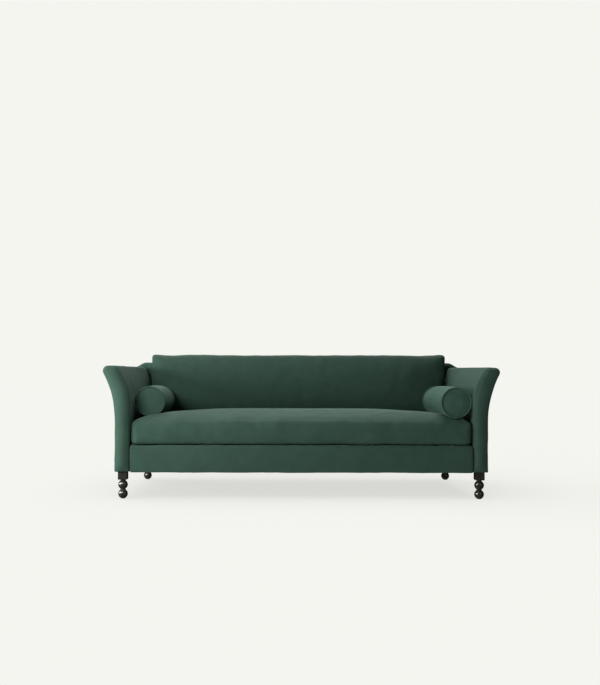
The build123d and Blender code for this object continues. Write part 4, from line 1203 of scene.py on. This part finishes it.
def makeZip(name, node, along, out, body):
    across = np.cross(out, along)
    length, width, depth = (spread(node, way) for way in (along, across, out))
    half = (length[1] - length[0]) / 2
    halfWidth = (width[1] - width[0]) / 2
    height = depth[1] - depth[0]
    middle = along * sum(length) / 2 + across * sum(width) / 2 + out * depth[0]
    base = zipper["tapeThickness"]
    section = zipper["tapeSection"]
    points, faces = [], []

    def addBox(xs, ys, top):
        quads = ((0, 1, 3, 2), (4, 6, 7, 5), (0, 4, 5, 1), (2, 3, 7, 6), (0, 2, 6, 4), (1, 5, 7, 3))
        faces.extend(tuple(len(points) + corner for corner in quad) for quad in quads)
        points.extend((x, y, z) for x in sorted(xs) for y in sorted(ys) for z in (base, top))

    for side in (-1, 1):
        steps = round(2 * half / zipper["tapeStep"])
        faces += ringFaces(steps + 1, len(section), start=len(points))
        for step in range(steps + 1):
            for share, lift in section:
                y = side * (zipper["gap"] + share * (halfWidth - zipper["gap"]))
                points.append((-half + 2 * half * step / steps, y, base * lift))
    tapeFaces = len(faces)
    for tooth in range(int(2 * (half - zipper["endRoom"]) / zipper["toothPitch"])):
        x = -half + zipper["endRoom"] + tooth * zipper["toothPitch"]
        for side in (-1, 1):
            start = x if side < 0 else x + zipper["toothPitch"] / 2
            root = zipper["toothShift"] * side
            ends = (root, root + side * zipper["toothReach"])
            addBox((start, start + zipper["toothLength"]), ends, height - zipper["toothDrop"])
    for end in (-1, 1):
        stop = (end * half, end * (half - zipper["stopLength"]))
        addBox(stop, (-zipper["stopHalf"], zipper["stopHalf"]), height)
    piece = linkPiece(name, np.array(points) @ np.stack([along, across, out]) + middle, faces)
    dress(piece, "zip_tape", body, [node])
    piece.data.materials.append(slotFinish["slider_metal"])
    for index, face in enumerate(piece.data.polygons):
        face.use_smooth = False
        face.material_index = 0 if index < tapeFaces else 1


makeZip("seatZip", "seat_zipper", eastward, np.array((0.0, 1.0, 0.0)), "seat_cushion")
makeZip("backZip", "back_zipper", eastward, -ahead, "back_cushion")
for name, side in (("left", -1), ("right", 1)):
    angle = radians(bolster["zipAngle"])
    out = bolsterFrame(name)[0] @ np.array((side * cos(angle), 0.0, -sin(angle)))
    along = np.array(jointAxis[name + "_bolster_zip"])
    makeZip(name + "BolsterZip", name + "_bolster_zipper", along, out, name + "_bolster")
print("zips made")


# Deck cloth under the seat cushion, and the dust cloth tacked under the frame round the legs

sheets = {
    "deckCloth": {
        "node": "deck_cover", "slot": "deck_cloth", "on": ["deck_pad"], "seed": 83, "wave": 0.0005,
        "sag": 0.0008, "legs": [],
    },
    "dustCloth": {
        "node": "dust_cover", "slot": "dust_cloth", "on": ["front_seat_rail", "rear_seat_rail"], "seed": 89,
        "wave": 0.0016, "sag": 0.008, "legs": ["front_left", "front_right", "rear_left", "rear_right"],
    },
}
sheetStep = 0.03
sheetWave = 0.2
sheetDrop = 1.5  # the waves hang below the frame's level
legRoom = 0.001


# even steps from end to end, with lines at both sides of every leg
def gridAlong(axis, low, high, legs):
    sides = [edge for leg in legs for edge in (leg[0][axis] - legRoom, leg[1][axis] + legRoom)]
    marks = sorted([low[axis], high[axis]] + [mark for mark in sides if low[axis] < mark < high[axis]])
    runs = [np.linspace(a, b, max(round((b - a) / sheetStep), 1) + 1)[:-1] for a, b in zip(marks, marks[1:])]
    return list(np.concatenate(runs)) + [high[axis]]


def makeSheet(name, sheet):
    low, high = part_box(sheet["node"])
    legs = [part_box(leg + "_leg") for leg in sheet["legs"]]
    xs = gridAlong(0, low, high, legs)
    ys = gridAlong(1, low, high, legs)
    flat = np.array([(x, y, 0.0) for y in ys for x in xs])
    u = (flat[:, 0] - low.x) / (high.x - low.x) * 2 - 1
    v = (flat[:, 1] - low.y) / (high.y - low.y) * 2 - 1
    middle = (1 - u**4) * (1 - v**4)
    wave = sheet["wave"] * (ripples(flat, sheetWave, sheet["seed"]) - sheetDrop) * middle
    top = flat + np.outer(high.z + np.maximum(wave, -sheet["sag"]), (0.0, 0.0, 1.0))
    bottom = top - np.array((0.0, 0.0, high.z - low.z))
    count = len(flat)
    faces, area, edges = [], 0.0, set()
    for quad in gridFaces(len(ys), len(xs)):
        start, end = flat[quad[0]], flat[quad[2]]
        x, y, _ = (start + end) / 2
        if any(leg[0].x < x < leg[1].x and leg[0].y < y < leg[1].y for leg in legs):
            continue
        area += float((end - start)[0] * (end - start)[1])
        faces += [quad, tuple(count + index for index in reversed(quad))]
        edges.update(zip(quad, quad[1:] + quad[:1]))
    faces += [(a, b, count + b, count + a) for a, b in edges if (b, a) not in edges]
    used = sorted({index for face in faces for index in face})
    place = {old: new for new, old in enumerate(used)}
    points = np.concatenate([top, bottom])[used]
    piece = linkPiece(name, points, [tuple(place[index] for index in face) for face in faces])
    dress(piece, sheet["slot"], "frame", [sheet["node"]])


for name, sheet in sheets.items():
    makeSheet(name, sheet)
print("sheets made")


# Stage, light and camera

stage = {
    "half": 60.0, "tone": (0.913, 0.913, 0.871), "glow": 0.845, "matte": 0.20, "albedo": (0.8, 0.8, 0.77),
}


# a floor that glows a little, so that it stays as pale as the backdrop but still takes a soft shadow
def makeStage():
    half = stage["half"]
    corners = [(-half, -half, 0.0), (half, -half, 0.0), (half, half, 0.0), (-half, half, 0.0)]
    floor = linkPiece("paleFloor", corners, [(0, 1, 2, 3)])
    finish = Finish(bpy.data.materials.new("paleFloor"))
    tone = (*stage["tone"], 1.0)
    strength = stage["glow"] / stage["tone"][0]
    glow = finish.node("ShaderNodeEmission", None, {"Color": tone, "Strength": strength})
    matte = finish.node("ShaderNodeBsdfDiffuse", None, {"Color": (*stage["albedo"], 1.0)})
    both = finish.node("ShaderNodeMixShader", None, {0: stage["matte"], 1: glow, 2: matte})
    finish.node("ShaderNodeOutputMaterial", None, {"Surface": both})
    floor.data.materials.append(finish.material)
    floor.visible_glossy = False
    # the camera sees the backdrop, which lights nothing
    scene.world = bpy.data.worlds.new("studioWorld")
    sky = Finish(scene.world)
    seen = sky.node("ShaderNodeBackground", None, {"Color": tone, "Strength": 1.0})
    direct = sky.node("ShaderNodeLightPath", output="Is Camera Ray")
    both = sky.node("ShaderNodeMixShader", None, {0: direct, 2: seen})
    sky.node("ShaderNodeOutputWorld", None, {"Surface": both})


# an area lamp has a size in metres, a sun a spread in degrees
lamps = {
    "key": {"place": (-1.8, -2.5, 1.6), "aim": (-0.7, -0.2, 0.5), "size": 1.0, "power": 97.0},
    "side": {"place": (-3.0, -0.95, 0.85), "aim": (-1.1, -0.4, 0.5), "size": 0.8, "power": 116.0},
    "rightFill": {"place": (2.2, -3.2, 1.3), "aim": (0.6, -0.2, 0.5), "size": 1.5, "power": 10.5},
    "sky": {"place": (-0.06, 1.45, 3.0), "aim": (0.0, 0.0, 0.0), "spread": 50.0, "power": 4.65},
    "floor": {"place": (-1.5, -0.5, 3.0), "aim": (0.0, 0.0, 0.0), "spread": 130.0, "power": 5.2},
}


# the floor has a lamp of its own, because the others would leave a bright patch on it
def makeLamps():
    receivers = {}
    for state in ("INCLUDE", "EXCLUDE"):
        receivers[state] = bpy.data.collections.new("floor" + state.title())
        receivers[state].objects.link(bpy.data.objects["paleFloor"])
        receivers[state].collection_objects[0].light_linking.link_state = state
    for name, lamp in lamps.items():
        data = bpy.data.lights.new(name + "Lamp", "SUN" if "spread" in lamp else "AREA")
        data.energy = lamp["power"]
        if "spread" in lamp:
            data.angle = radians(lamp["spread"])
        else:
            data.size = lamp["size"]
        item = bpy.data.objects.new(name + "Lamp", data)
        item.light_linking.receiver_collection = receivers["INCLUDE" if name == "floor" else "EXCLUDE"]
        item.visible_camera = False
        item.location = lamp["place"]
        way = Vector(lamp["aim"]) - Vector(lamp["place"])
        item.rotation_euler = way.to_track_quat("-Z", "Y").to_euler()
        scene.collection.objects.link(item)


camera = {
    "place": (-0.1626, -4.9153, 0.6764),
    "rollDegrees": 0.125,  # the right side a little lower
    "focalPixels": 771.3,
    "axisPixel": (273.3, 381.9),  # where the level view axis meets the picture
    "picture": (600, 685),
    "sensor": 36.0,
}


def makeCamera():
    width, height = camera["picture"]
    longSide = max(width, height)
    data = bpy.data.cameras.new("photoCamera")
    data.sensor_width = camera["sensor"]
    data.lens = camera["focalPixels"] / longSide * camera["sensor"]
    data.shift_x = (width / 2 - camera["axisPixel"][0]) / longSide
    data.shift_y = (camera["axisPixel"][1] - height / 2) / longSide
    data.clip_end = 4 * stage["half"]
    item = bpy.data.objects.new("photoCamera", data)
    item.location = camera["place"]
    item.rotation_euler = (radians(90), radians(-camera["rollDegrees"]), 0.0)
    scene.collection.objects.link(item)
    scene.camera = item


makeStage()
makeLamps()
makeCamera()
scene.view_settings.view_transform = "Standard"
print("stage, lamps and camera set")
